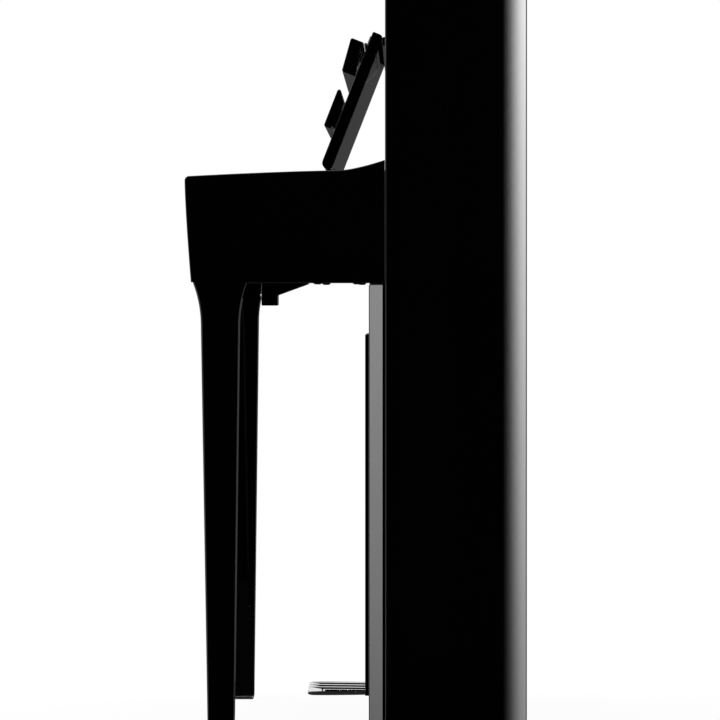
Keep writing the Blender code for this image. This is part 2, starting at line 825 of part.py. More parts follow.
def keys():
    """The middle octave has a node for each key; the keys on each side share four nodes.

    The keys of a shared node are carried by one shaft on their balance line.
    """
    plan = key_plan()
    octaves = sorted({octave for _, octave, _, _ in plan})
    middle = octaves[len(octaves) // 2]
    groups = {}
    for index, (kind, octave, pitch, left) in enumerate(plan):
        if octave == middle:
            name = f"key_{pitch}" if kind == "natural" else f"key_{pitch}_sharp"
        else:
            name = f"{kind}s_{'bass' if octave < middle else 'treble'}"
        bm = groups.setdefault(name, (bmesh.new(), kind))[0]
        if kind == "natural":
            natural_into(bm, pitch, left, index == 0, index == len(plan) - 1)
        else:
            sharp_into(bm, *sharp_slot(pitch, left))
    for name, (bm, kind) in groups.items():
        finish = "key_white" if kind == "natural" else "key_black"
        origin = pivot_of(kind)
        if name.startswith("key_"):
            add(name, bm, finish, origin)
            continue
        reach = sorted((min(v.co.x for v in bm.verts), max(v.co.x for v in bm.verts)))
        shaft = add(name, balance_shaft(kind, reach[0] + KEY_GAP, reach[1] - KEY_GAP), finish, origin)
        boolean(shaft, cutter(name + "_keys", bm), "UNION")


def shaft_top(kind):
    """A shaft is sunk a little into its own keys, and clears the other kind's."""
    if kind == "natural":
        return KEY_UNDER + SHAFT_SINK
    return KEY_UNDER - SHARP_BOSS + SHAFT_SINK


def balance_shaft(kind, start, end):
    _, y, _ = pivot_of(kind)
    z = shaft_top(kind) - BEAD_R
    return rod(BEAD_R, (start, y, z), (end, y, z), 10)


def key_drop(y):
    """How far the underside of a pressed key has sunk at this depth."""
    return KEY_DIP * (PIVOT_Y - y) / PIVOT_BACK


def octave_reach():
    """Left and right edges of the middle octave."""
    plan = key_plan()
    octaves = sorted({octave for _, octave, _, _ in plan})
    middle = octaves[len(octaves) // 2]
    lefts = [left for kind, octave, _, left in plan if octave == middle and kind == "natural"]
    return min(lefts), max(lefts) + KEY_PITCH


def key_frame():
    """Base with front, balance and back rails; the balance rail is beaded under single keys."""
    base = KEYBED_TOP + SEAT
    deck = base + FRAME_BASE
    front = KEY_FRONT + KEY_GAP
    front_top = KEY_UNDER - key_drop(front) - DIP_ROOM
    rear = KEY_REAR
    rear_top = KEY_UNDER - SEAT
    balance_top = min(shaft_top("natural"), shaft_top("sharp")) - 2 * BEAD_R - SEAT
    low, high = PIVOT_Y - RAIL_D / 2, SHARP_PIVOT_Y + RAIL_D / 2
    outline = [
        (front, base),
        (front, front_top),
        (front + RAIL_D, front_top),
        (front + RAIL_D, deck),
        (low, deck),
        (low, balance_top),
        (high, balance_top),
        (high, deck),
        (rear - RAIL_D, deck),
        (rear - RAIL_D, rear_top),
        (rear, rear_top),
        (rear, base),
    ]
    half = KEYBOARD_HALF - FRAME_SIDE_GAP
    frame = add("key_frame", prism(outline[::-1], -half, half, across), "wood")
    left, right = octave_reach()
    beads = bmesh.new()
    for y, top in ((PIVOT_Y, PIVOT_Z), (SHARP_PIVOT_Y, KEY_UNDER - SHARP_BOSS - SEAT)):
        center = (y, top - BEAD_R)
        section = arc(center, BEAD_R, 0, 180, 6)
        section += [(y - BEAD_R, balance_top - BEAD_R), (y + BEAD_R, balance_top - BEAD_R)]
        prism(section, left + KEY_GAP, right - KEY_GAP, across, beads)
    boolean(frame, cutter("balance_beads", beads), "UNION")


def key_sensor_board():
    deck = KEYBED_TOP + SEAT + FRAME_BASE + SEAT
    middle = (KEY_FRONT + RAIL_D + PIVOT_Y - RAIL_D / 2) / 2
    half = KEYBOARD_HALF - 2 * FRAME_SIDE_GAP
    low = (-half, middle - SENSOR_D / 2, deck)
    add("key_sensor_board", box(low, (half, middle + SENSOR_D / 2, deck + SENSOR_T)), "board_green")


def key_slip():
    """The front board below the keys, its face following the fronts of the arms."""
    top_front = SLIP_FRONT
    outline = [(SLIP_BACK, KEYBED_Z), (top_front + SLIP_T * 0.22, KEYBED_Z)]
    outline += [(top_front, SLIP_TOP - 0.3 * SLIP_T)]
    outline += arc((top_front + SLIP_T * 0.2, SLIP_TOP - SLIP_T * 0.2), SLIP_T * 0.2, 180, 90, 3)
    outline += [(SLIP_BACK, SLIP_TOP)]
    shape = prism(outline[::-1], -ARM_BETWEEN, ARM_BETWEEN, across)
    add("key_slip", shape, "polished_black")


def block_shape(sign):
    """Low step beside the keys, high step beside the lid."""
    inner = KEYBOARD_HALF + BLOCK_GAP
    step = LID_HALF + LID_SIDE_GAP
    outline = [
        (inner, KEYBED_TOP + SEAT),
        (ARM_BETWEEN, KEYBED_TOP + SEAT),
        (ARM_BETWEEN, BLOCK_TOP),
        (step, BLOCK_TOP),
        (step, BLOCK_LOW_TOP),
        (inner, BLOCK_LOW_TOP),
    ]
    outline = [(sign * x, z) for x, z in outline]
    return prism(outline, KEY_FRONT, SIDE_FRONT - SEAT, along)


def key_blocks():
    add("key_block_treble", block_shape(1), "polished_black")
    bass = add("key_block_bass", block_shape(-1), "polished_black")
    wells = bmesh.new()
    for x, y, radius in button_places():
        low = (x, y, BLOCK_TOP - WELL_DEPTH)
        rod(radius + BUTTON_GAP, low, (x, y, BLOCK_TOP + PLATE_T), 12, wells)
    low, high = slider_slot(BLOCK_TOP - WELL_DEPTH, BLOCK_TOP + PLATE_T)
    box(low, high, wells)
    boolean(bass, cutter("control_wells", wells), "DIFFERENCE")


# Controls


def plate_center():
    middle = -(LID_HALF + LID_SIDE_GAP + ARM_BETWEEN) / 2
    return middle, KEY_FRONT + PLATE_FRONT_GAP + PLATE_L / 2


def button_places():
    """(x, y, radius) of the power button and the function button."""
    x, y = plate_center()
    start = y - PLATE_L / 2 + BUTTON_PITCH * 0.7
    return [(x, start + BUTTON_PITCH * i, BUTTON_R) for i in range(2)]


def slider_center():
    x, y = plate_center()
    return x, y + PLATE_L / 2 - SLIDER_TRAVEL - SLIDER_CAP


def slider_slot(low_z, high_z):
    x, y = slider_center()
    half_w = SLIDER_SLOT_W / 2 + BUTTON_GAP
    half_l = SLIDER_TRAVEL + SLIDER_SLOT_W / 2 + BUTTON_GAP
    return (x - half_w, y - half_l, low_z), (x + half_w, y + half_l, high_z)


def display_center():
    x, y = plate_center()
    last = button_places()[-1][1]
    slot = slider_center()[1] - SLIDER_TRAVEL
    return x, (last + slot) / 2


def control_panel():
    """Thin plate on the bass key block, open round its buttons, window and slider."""
    x, y = plate_center()
    bottom = BLOCK_TOP + SEAT
    low = (x - PLATE_W / 2, y - PLATE_L / 2, bottom)
    plate = add("control_panel", box(low, (x + PLATE_W / 2, y + PLATE_L / 2, bottom + PLATE_T)), "plastic")
    holes = bmesh.new()
    for bx, by, radius in button_places():
        rod(radius + BUTTON_GAP, (bx, by, bottom - PLATE_T), (bx, by, bottom + 2 * PLATE_T), 12, holes)
    box(*slider_slot(bottom - PLATE_T, bottom + 2 * PLATE_T), holes)
    dx, dy = display_center()
    half = (DISPLAY_W / 2 + SEAT, DISPLAY_L / 2 + SEAT)
    low = (dx - half[0], dy - half[1], bottom + PLATE_RECESS)
    box(low, (dx + half[0], dy + half[1], bottom + 2 * PLATE_T), holes)
    boolean(plate, cutter("plate_holes", holes), "DIFFERENCE")
    low = (dx - DISPLAY_W / 2, dy - DISPLAY_L / 2, bottom + PLATE_RECESS + SEAT)
    add("display_window", box(low, (dx + DISPLAY_W / 2, dy + DISPLAY_L / 2, bottom + PLATE_T)), "window")


def buttons():
    names = ("power_button", "function_button")
    for name, (x, y, radius) in zip(names, button_places()):
        foot = BLOCK_TOP - WELL_DEPTH + BUTTON_TRAVEL + SEAT
        top = BLOCK_TOP + SEAT + PLATE_T + BUTTON_PROUD
        crown = BUTTON_PROUD * 0.3
        profile = ((0, foot), (radius, foot), (radius, top - crown), (radius - crown, top), (0, top))
        shape = turned([(r, z - foot) for r, z in profile], (x, y, foot), (0, 0, 1), 12)
        add(name, shape, "chrome" if name == "power_button" else "plastic", (x, y, top), smooth=True)


def volume_slider():
    """Ribbed cap on a stem that runs in its slot."""
    x, y = slider_center()
    deck = BLOCK_TOP + SEAT + PLATE_T + SEAT
    foot = BLOCK_TOP - WELL_DEPTH + SEAT
    half = SLIDER_CAP / 2
    stem = SLIDER_SLOT_W / 2
    outline = [(x - stem, foot), (x - stem, deck), (x - half, deck)]
    outline += [(x - half * 0.8, deck + SLIDER_CAP_H), (x + half * 0.8, deck + SLIDER_CAP_H)]
    outline += [(x + half, deck), (x + stem, deck), (x + stem, foot)]
    shape = prism(outline, y - stem, y + stem, along)
    add("volume_slider", shape, "chrome", (x, y, deck))


# Key lid, lip and music ledge


def lid_point(u, n):
    """A point of the open lid: u along it from the hinge, n square to it towards the back."""
    y = LID_PIVOT_Y + u * sin(LID_LEAN) + n * cos(LID_LEAN)
    z = LID_PIVOT_Z + u * cos(LID_LEAN) - n * sin(LID_LEAN)
    return y, z


def lid_place(u, n, x):
    y, z = lid_point(u, n)
    return (x, y, z)


LID_INNER = -(LID_HINGE_OFF + LID_T)
LID_OUTER = -LID_HINGE_OFF


def lid_outline():
    """Section of the lid: round lower end, small round inner corner, larger outer corner."""
    root = LID_T / 2
    outline = arc((root - LID_ROOT_DROP, LID_INNER + root), root, 270, 90, 8)
    nose = (LID_LENGTH - LID_NOSE_R, LID_OUTER - LID_NOSE_R)
    outline += arc(nose, LID_NOSE_R, 90, 0, 4)
    inner = LID_NOSE_R / 4
    outline += arc((LID_LENGTH - inner, LID_INNER + inner), inner, 0, -90, 2)
    return outline


def key_lid():
    shape = prism(lid_outline(), -LID_HALF, LID_HALF, lid_place)
    lid = add("key_lid", shape, "polished_black", (0, LID_PIVOT_Y, LID_PIVOT_Z), smooth=True)
    bevelled(lid, BOARD_EDGE / 2, angle=60)


def lid_rail():
    """The fixed board behind the lid, which carries its hinge, and the strip above the keys."""
    front = LID_PIVOT_Y + RAIL_GAP
    outline = [
        (front, RAIL_UNDER),
        (front, RAIL_TOP),
        (PANEL_FRONT + PANEL_T, RAIL_TOP),
        (PANEL_FRONT + PANEL_T, RAIL_UNDER),
    ]
    rail = add("lid_rail", prism(outline, -ARM_BETWEEN, ARM_BETWEEN, across), "polished_black")
    low = (-KEYBOARD_HALF, front, KEY_TOP + NAME_STRIP_LIFT)
    strip = box(low, (KEYBOARD_HALF, front + NAME_STRIP_T, (RAIL_UNDER + RAIL_TOP) / 2))
    boolean(rail, cutter("name_strip", strip), "UNION")


def lid_hinge():
    """Continuous hinge: barrel on the lid's axis and a leaf on the lid rail."""
    leaf_low = RAIL_TOP + SEAT
    leaf_high = leaf_low + LEAF_T
    leaf_rear = LID_PIVOT_Y + RAIL_GAP + LEAF_W
    first = degrees_of(asin((leaf_low - LID_PIVOT_Z) / BARREL_R))
    last = degrees_of(asin((leaf_high - LID_PIVOT_Z) / BARREL_R))
    outline = arc((LID_PIVOT_Y, LID_PIVOT_Z), BARREL_R, 360 + first, last, 9)
    outline += [(leaf_rear, leaf_high), (leaf_rear, leaf_low)]
    add("lid_hinge", prism(outline, -LID_HALF, LID_HALF, across), "steel", smooth=True)


def degrees_of(angle):
    return angle * 180 / pi


def lip_points():
    """Section of the lip in the lid's frame, with a heel that wraps its hinge."""
    top = LIP_HINGE_U + LIP_TOP_PAST
    foot = LIP_HINGE_U + LIP_TOP_PAST - LIP_LENGTH
    axis = lip_axis()
    root_back = LID_INNER - LIP_ROOT_GAP
    heel = axis[1] - SMALL_BARREL_R - 1.6 * SEAT
    soft = LIP_T_ROOT * 0.16
    outline = [(foot, LID_INNER - LIP_SEAT), (foot + soft, LID_INNER - LIP_SEAT)]
    outline += [(axis[0] - 4 * SMALL_LEAF_T, root_back)]
    outline += [(axis[0] - 2 * SMALL_LEAF_T, heel), (axis[0], heel), (top, root_back)]
    outline += arc((top - soft, root_back - LIP_T_ROOT + soft), soft, 0, -90, 3)
    outline += arc((foot + soft, LID_INNER - LIP_SEAT - LIP_T_TIP + soft), soft, -90, -180, 3)
    return outline


def lip_axis():
    return LIP_HINGE_U, LID_INNER - LIP_HINGE_OUT


def lid_lip():
    y, z = lid_point(*lip_axis())
    shape = prism(lip_points(), -LID_HALF, LID_HALF, lid_place)
    add("lid_lip", shape, "polished_black", (0, y, z), smooth=True)


def ledge_axis():
    return LEDGE_HINGE_U, LID_INNER - LEDGE_HINGE_OUT


def ledge_top():
    return LEDGE_HINGE_U + LEDGE_LENGTH


def ledge_points():
    """Section of the ledge: hollowed root round the barrel, thinned towards its free end."""
    axis_u, axis_n = ledge_axis()
    drop = LEDGE_HINGE_OUT - SMALL_LEAF_T - 2 * SEAT
    back = axis_n + LEDGE_ROOT_R
    face = back - LEDGE_T
    top = ledge_top()
    soft = LEDGE_TIP_T / 2
    hollow = SMALL_BARREL_R + SEAT
    first = degrees_of(asin(-drop / hollow))
    turns = spaced(first, 140, 7)
    outline = [(axis_u + hollow * sin(radians(t)), axis_n - hollow * cos(radians(t))) for t in turns]
    outline += [(axis_u + LEDGE_ROOT_R, back), (top - LEDGE_TAPER, back)]
    outline += arc((top - soft, face + LEDGE_TIP_T - soft), soft, 90, -90, 4)
    outline += arc((axis_u - drop + soft, face + soft), soft, -90, -180, 2)
    return outline


def music_ledge():
    """Long ledge; its root is hollowed to wrap the barrel of its hinge."""
    y, z = lid_point(*ledge_axis())
    shape = prism(ledge_points(), -LEDGE_HALF, LEDGE_HALF, lid_place)
    add("music_ledge", shape, "polished_black", (0, y, z), smooth=True)


def long_hinge(name, axis, toward, half):
    """Barrel on the axis with a leaf flat on the lid, running up (1) or down (-1) from it."""
    u, n = axis
    back = LID_INNER - SEAT - n
    front = back - SMALL_LEAF_T
    start = degrees_of(asin(min(0.95, front / SMALL_BARREL_R)))
    section = arc((0, 0), SMALL_BARREL_R, start, -180 - start, 9)
    section += [(section[-1][0], back), (SMALL_LEAF_W, back), (SMALL_LEAF_W, front)]
    if front > section[0][1] + SEAT / 10:
        section.append((section[0][0], front))
    section = [(u + toward * a, n + b) for a, b in section]
    shape = prism(section, -half + SMALL_HINGE_INSET, half - SMALL_HINGE_INSET, lid_place)
    add(name, shape, "steel", (0, *lid_point(*axis)), smooth=True)


def small_hinges():
    long_hinge("lip_hinge", lip_axis(), 1, LID_HALF)
    long_hinge("ledge_hinge", ledge_axis(), -1, LEDGE_HALF)


def lid_rear_at(low, high):
    """Furthest back that the open lid reaches between two heights."""
    reach = [lid_point(u, n) for u, n in lid_outline()]
    reach += [lid_point(u, LID_OUTER) for u in spaced(LID_LENGTH / 2, LID_LENGTH - LID_NOSE_R, 40)]
    return max(y for y, z in reach if low <= z <= high)


def lid_stop_rail():
    """Padded rail on the upper panel; the open lid leans on it."""
    front = lid_rear_at(STOP_Z, STOP_Z + STOP_H) + SEAT
    rear = PANEL_FRONT - SEAT
    soft = min(STOP_H, rear - front) * 0.45
    outline = [(rear, STOP_Z), (rear, STOP_Z + STOP_H)]
    outline += arc((front + soft, STOP_Z + STOP_H - soft), soft, 90, 180, 3)
    outline += arc((front + soft, STOP_Z + soft), soft, 180, 270, 3)
    add("lid_stop_rail", prism(outline, -SIDE_IN, SIDE_IN, across), "rubber", smooth=True)


# Action


def action_frame():
    """Three brackets that stand on the keybed, joined by the stop rail of the hammers."""
    rear = KEYBED_REAR - SEAT
    stand = rear - 2 * ACTION_RAIL_T
    top = ACTION_Z + HAMMER_H
    foot = KEYBED_TOP + SEAT
    bracket = [
        (rear, foot),
        (rear, top),
        (rear - ACTION_RAIL_T, top),
        (rear - ACTION_RAIL_T, ACTION_Z - ACTION_RAIL_T),
        (ACTION_Y - ACTION_RAIL_T / 2, ACTION_Z - ACTION_RAIL_T),
        (ACTION_Y - ACTION_RAIL_T / 2, ACTION_Z - 1.6 * ACTION_RAIL_T),
        (stand, ACTION_Z - 2.4 * ACTION_RAIL_T),
        (stand, foot),
    ]
    half = KEYBOARD_HALF
    frame = add("action_frame", prism(bracket[::-1], -half, -half + BRACKET_T, across), "steel")
    others = bmesh.new()
    prism(bracket[::-1], -BRACKET_T / 2, BRACKET_T / 2, across, others)
    prism(bracket[::-1], half - BRACKET_T, half, across, others)
    rail = box(
        (-half + BRACKET_T / 2, rear - ACTION_RAIL_T * 0.9, top - ACTION_RAIL_T),
        (half - BRACKET_T / 2, rear - ACTION_RAIL_T * 0.1, top - ACTION_RAIL_T * 0.1),
    )
    boolean(frame, cutter("hammer_stop_rail", rail), "UNION")
    boolean(frame, cutter("other_brackets", others), "UNION")


def hammers():
    """Hammer rail on the brackets with a hammer for each key, its head near the stop rail."""
    rail_top = ACTION_Z - SEAT
    half = KEYBOARD_HALF
    low = (-half, ACTION_Y - ACTION_RAIL_T / 2, ACTION_Z - ACTION_RAIL_T + SEAT)
    rail = add("hammers", box(low, (half, ACTION_Y + ACTION_RAIL_T / 2, rail_top)), "wood")
    bm = bmesh.new()
    foot = rail_top - SHANK_T / 2
    top = ACTION_Z + HAMMER_H
    nose = KEYBED_REAR - SEAT - ACTION_RAIL_T - ACTION_STOP_GAP
    butt = ACTION_Y - SHANK_T / 2
    outline = [
        (butt, foot),
        (butt, top),
        (nose, top - HAMMER_HEAD * 0.2),
        (nose, top - HAMMER_HEAD * 0.8),
        (butt + SHANK_T, top - HAMMER_HEAD),
        (butt + SHANK_T, foot),
    ]
    count = len(key_plan())
    span = 2 * (KEYBOARD_HALF - BRACKET_T)
    step = span / count
    for i in range(count):
        middle = -span / 2 + step * (i + 0.5)
        prism(outline[::-1], middle - HAMMER_W / 2, middle + HAMMER_W / 2, across, bm)
    boolean(rail, cutter("hammer_row", bm), "UNION")


# Electronics


def woofers():
    """A woofer behind each round hole of the back: flange, cone frame and magnet."""
    face = BACK_Y - SEAT
    hole = WOOFER_R - 2 * WOOFER_FRAME
    profile = (
        (0, -WOOFER_DEPTH * 0.45),
        (hole * 0.35, -WOOFER_DEPTH * 0.5),
        (hole, -WOOFER_FRAME * 0.5),
        (WOOFER_R, 0),
        (WOOFER_R, -WOOFER_FRAME),
        (hole * 0.55, -WOOFER_DEPTH * 0.7),
        (hole * 0.5, -WOOFER_DEPTH),
        (0, -WOOFER_DEPTH),
    )
    for name, x in (("woofer_treble", WOOFER_X), ("woofer_bass", -WOOFER_X)):
        bm = turned(profile, (x, face, WOOFER_Z), (0, 1, 0), 20)
        add(name, bm, "plastic", smooth=True)


def main_board():
    """Circuit board on four stand-offs on the back panel."""
    rear = BACK_Y - SEAT
    front = rear - BOARD_STAND - SENSOR_T
    low = (-BOARD_L / 2, front, AMP_Z)
    bm = box(low, (BOARD_L / 2, rear - BOARD_STAND, AMP_Z + BOARD_H))
    board = add("main_board", bm, "board_green")
    posts = bmesh.new()
    inset = BOARD_STAND
    for x in (-BOARD_L / 2 + inset, BOARD_L / 2 - inset):
        for z in (AMP_Z + inset, AMP_Z + BOARD_H - inset):
            rod(inset / 3, (x, front + SENSOR_T / 2, z), (x, rear, z), 8, posts)
    boolean(board, cutter("board_posts", posts), "UNION")


def inlet_panel():
    """Plate behind the window of the back panel, with the mains socket."""
    face = BACK_Y - SEAT
    x, z = INLET_X, INLET_Z
    depth = SOCKET_D + INLET_PROUD
    low = (x - INLET_W / 2, face - depth, z - INLET_H / 2)
    plate = add("inlet_panel", box(low, (x + INLET_W / 2, face, z + INLET_H / 2)), "plastic")
    socket = box(
        (x - SOCKET_W / 2, face - SOCKET_D, z - SOCKET_H / 2),
        (x + SOCKET_W / 2, face + SOCKET_D, z + SOCKET_H / 2),
    )
    boolean(plate, cutter("inlet_socket", socket), "DIFFERENCE")


def headphone_box():
    """Housing under the keybed: two jacks in its front, its rear sloping up."""
    top = KEYBED_Z - SEAT
    low = KEYBED_Z - PHONES_DEPTH
    edge = BOARD_EDGE
    outline = [
        (PHONES_FRONT, top),
        (PHONES_FRONT, low + edge),
        (PHONES_FRONT + edge, low),
        (PHONES_FRONT + PHONES_FLAT - edge, low),
        (PHONES_FRONT + PHONES_FLAT, low + edge),
        (PHONES_FRONT + PHONES_FLAT, KEYBED_Z - PHONES_BACK_Z),
        (PHONES_REAR, top - edge),
        (PHONES_REAR, top),
    ]
    near = PHONES_X - PHONES_W / 2
    housing = add("headphone_box", prism(outline, near, near + PHONES_W, across), "satin_black")
    jacks = bmesh.new()
    middle = low + PHONES_DEPTH / 2
    for x in (PHONES_X - JACK_PITCH / 2, PHONES_X + JACK_PITCH / 2):
        start = (x, PHONES_FRONT - JACK_DEPTH, middle)
        rod(JACK_R, start, (x, PHONES_FRONT + JACK_DEPTH, middle), 12, jacks)
    boolean(housing, cutter("jack_holes", jacks), "DIFFERENCE")


# Pedals


def pedal_ring(y, width, thickness, top, soft):
    """Section of a pedal across its length, with broken corners."""
    half = width / 2
    low = top - thickness
    return [
        (-half + soft, y, low),
        (half - soft, y, low),
        (half, y, low + soft),
        (half, y, top - soft),
        (half - soft, y, top),
        (-half + soft, y, top),
        (-half, y, top - soft),
        (-half, y, low + soft),
    ]


def pedal_shape():
    """Pedal from its rounded tip to its root, where it meets the boss round the axle."""
    root_y = LOWER_FRONT
    length = root_y - PEDAL_TIP
    sections = (
        (0.0, 0.55, 0.50, 0.22),
        (0.03, 0.80, 0.80, 0.10),
        (0.09, 0.96, 0.96, 0.02),
        (0.18, 1.0, 1.0, 0.0),
        (0.55, 0.93, 0.86, 0.0),
    )
    rings = []
    for share, wide, thick, drop in sections:
        top = PEDAL_TOP - PEDAL_T * drop
        soft = PEDAL_T * 0.2 * thick
        rings.append(pedal_ring(PEDAL_TIP + length * share, PEDAL_W * wide, PEDAL_T * thick, top, soft))
    root_top = PEDAL_AXIS_Z + PEDAL_ROOT_T / 2
    soft = PEDAL_ROOT_T * 0.2
    rings.append(pedal_ring(root_y, PEDAL_ROOT_W, PEDAL_ROOT_T, root_top, soft))
    rings.append(pedal_ring(AXLE_Y, PEDAL_ROOT_W, PEDAL_ROOT_T, root_top, soft))
    return loft([ring[::-1] for ring in rings])


def pedals():
    for name, middle in zip(("pedal_left", "pedal_middle", "pedal_right"), pedal_places()):
        axis = (middle, AXLE_Y, PEDAL_AXIS_Z)
        shape = pedal_shape()
        bmesh.ops.translate(shape, verts=shape.verts, vec=(middle, 0, 0))
        pedal = add(name, shape, "chrome", axis, smooth=True)
        half = PEDAL_ROOT_W / 2
        boss = rod(BOSS_R, (middle - half, *axis[1:]), (middle + half, *axis[1:]), 16)
        boolean(pedal, cutter(name + "_boss", boss), "UNION")
        bore = rod(AXLE_R + AXLE_GAP, (middle - 2 * half, *axis[1:]), (middle + 2 * half, *axis[1:]), 16)
        boolean(pedal, cutter(name + "_bore", bore), "DIFFERENCE")


def pedal_bracket():
    """Axle between two cheeks that stand on the bottom board."""
    reach = PEDAL_PITCH + PEDAL_W / 2 + CHEEK_GAP
    foot = BOTTOM_Z + BOTTOM_T + SEAT
    radius = BOSS_R
    outline = [(AXLE_Y + 2 * radius, foot)]
    outline += arc((AXLE_Y, PEDAL_AXIS_Z), radius, 0, 180, 6)
    outline += [(AXLE_Y - 2 * radius, foot)]
    frame = add("pedal_bracket", prism(outline, -reach - CHEEK_T, -reach, across), "steel")
    others = prism(outline, reach, reach + CHEEK_T, across)
    inset = CHEEK_T / 2
    ends = ((-reach - inset, AXLE_Y, PEDAL_AXIS_Z), (reach + inset, AXLE_Y, PEDAL_AXIS_Z))
    boolean(frame, cutter("axle", rod(AXLE_R, *ends, 16)), "UNION")
    boolean(frame, cutter("other_cheek", others), "UNION")


def main():
    clear_scene()
    side_panels()
    top_board()
    upper_front_panel()
    back_panel()
    bottom_board()
    lower_front_board()
    pedal_panel()
    keybed()
    arms()
    legs()
    leg_pads()
    key_frame()
    key_sensor_board()
    keys()
    key_slip()
    key_blocks()
    control_panel()
    buttons()
    volume_slider()
    lid_rail()
    lid_hinge()
    key_lid()
    lid_lip()
    music_ledge()
    small_hinges()
    lid_stop_rail()
    action_frame()
    hammers()
    woofers()
    main_board()
    inlet_panel()
    headphone_box()
    pedals()
    pedal_bracket()


main()
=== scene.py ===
"""Looks of a compact hybrid piano in polished black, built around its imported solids.

Metres, +Z up. The player sits at -Y and the treble end is +X.
"""

import json
from math import cos, pi, radians, sin

import bmesh
import bpy
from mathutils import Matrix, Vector

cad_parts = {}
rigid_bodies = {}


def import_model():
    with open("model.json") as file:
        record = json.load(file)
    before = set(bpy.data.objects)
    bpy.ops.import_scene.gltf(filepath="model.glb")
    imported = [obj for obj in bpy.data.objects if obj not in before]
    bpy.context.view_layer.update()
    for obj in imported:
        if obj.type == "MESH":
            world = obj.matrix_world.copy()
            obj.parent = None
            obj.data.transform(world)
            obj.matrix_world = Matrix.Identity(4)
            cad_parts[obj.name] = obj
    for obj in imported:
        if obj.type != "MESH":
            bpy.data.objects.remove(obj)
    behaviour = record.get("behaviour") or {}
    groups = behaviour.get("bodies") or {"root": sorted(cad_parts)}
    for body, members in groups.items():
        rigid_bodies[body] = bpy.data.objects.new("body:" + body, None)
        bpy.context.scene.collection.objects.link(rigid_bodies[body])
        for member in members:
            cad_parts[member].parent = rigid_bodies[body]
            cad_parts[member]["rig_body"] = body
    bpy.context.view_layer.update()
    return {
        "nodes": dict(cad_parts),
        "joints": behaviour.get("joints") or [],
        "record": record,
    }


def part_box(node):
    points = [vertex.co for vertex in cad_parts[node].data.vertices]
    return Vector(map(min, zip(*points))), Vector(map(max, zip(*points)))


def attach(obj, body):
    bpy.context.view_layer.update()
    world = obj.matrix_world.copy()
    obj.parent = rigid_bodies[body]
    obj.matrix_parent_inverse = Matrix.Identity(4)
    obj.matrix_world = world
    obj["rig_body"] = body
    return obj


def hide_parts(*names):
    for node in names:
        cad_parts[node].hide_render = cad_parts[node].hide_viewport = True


bl_info = {
    "name": "Hybrid Piano Looks",
    "version": (1, 0, 0),
    "blender": (4, 5, 0),
    "location": "3D View > Sidebar > Piano",
    "description": "Dresses the packed hybrid piano in lacquer, ivory, felt and chrome",
    "category": "Add Mesh",
}

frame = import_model()
JOINTS = {joint["name"]: joint for joint in frame["joints"]}


# Shader trees


class Wire:
    """A shader socket: sums, products and the like of wires add their Math nodes."""

    def __init__(self, finish, socket):
        self.finish = finish
        self.socket = socket

    def math(self, operation, *values):
        settings = {"operation": operation}
        return self.finish.node("ShaderNodeMath", settings, dict(enumerate(values)))[0]

    def __add__(self, other):
        return self.math("ADD", self, other)

    def __sub__(self, other):
        return self.math("SUBTRACT", self, other)

    def __rsub__(self, other):
        return self.math("SUBTRACT", other, self)

    def __mul__(self, other):
        return self.math("MULTIPLY", self, other)

    def __truediv__(self, other):
        return self.math("DIVIDE", self, other)

    def __lt__(self, other):
        return self.math("LESS_THAN", self, other)

    __radd__ = __add__
    __rmul__ = __mul__


class Outputs:
    """The output sockets of a node, by name or place."""

    def __init__(self, finish, node):
        self.finish = finish
        self.node = node

    def __getitem__(self, key):
        return Wire(self.finish, self.node.outputs[key])


class Finish:
    """The node tree of one finish."""

    def __init__(self, tree):
        self.tree = tree
        tree.nodes.clear()

    def node(self, kind, settings=None, links=None):
        """Adds a node: its settings first, then the values or wires of its sockets."""
        made = self.tree.nodes.new(kind)
        for key, value in (settings or {}).items():
            if key == "stops":
                elements = made.color_ramp.elements
                while len(elements) < len(value):
                    elements.new(0.5)
                for element, (place, color) in zip(elements, value):
                    element.position = place
                    element.color = (*color, 1.0)
            else:
                setattr(made, key, value)
        for key, value in (links or {}).items():
            if isinstance(value, Wire):
                self.tree.links.new(value.socket, made.inputs[key])
            else:
                made.inputs[key].default_value = value
        return Outputs(self, made)

    def place(self):
        """Where a point of the piano is at rest, in metres."""
        return self.node("ShaderNodeTexCoord")["Object"]

    def axis(self, name):
        return self.node("ShaderNodeSeparateXYZ", links={0: self.place()})[name]

    def noise(self, scale, detail, stretch=(1, 1, 1), roughness=0.5):
        links = {"Vector": self.place(), "Scale": stretch}
        links = {
            "Vector": self.node("ShaderNodeMapping", links=links)[0],
            "Scale": scale,
            "Detail": detail,
            "Roughness": roughness,
        }
        return self.node("ShaderNodeTexNoise", links=links)["Fac"]

    def ramp(self, value, stops):
        return self.node("ShaderNodeValToRGB", {"stops": stops}, {0: value})[0]

    def mix(self, factor, first, second, blend="MIX"):
        settings = {"data_type": "RGBA", "blend_type": blend}
        links = {"Factor": factor, 6: first, 7: second}
        return self.node("ShaderNodeMix", settings, links)[2]

    def gray(self, value):
        return self.node("ShaderNodeCombineXYZ", links={0: value, 1: value, 2: value})[0]

    def spread(self, value, low, high):
        """Stretches a 0 to 1 value over a range."""
        return low + value * (high - low)

    def bump(self, height, distance, strength):
        links = {"Strength": strength, "Distance": distance, "Height": height}
        return self.node("ShaderNodeBump", links=links)["Normal"]

    def glow(self, color):
        links = {"Color": color, "Strength": 1.0}
        return self.node("ShaderNodeEmission", links=links)["Emission"]

    def output(self, shader):
        self.node("ShaderNodeOutputMaterial", links={"Surface": shader})

    def surface(self, **sockets):
        names = {
            key.replace("_", " ").title().replace("Ior", "IOR"): value
            for key, value in sockets.items()
        }
        self.output(self.node("ShaderNodeBsdfPrincipled", links=names)["BSDF"])


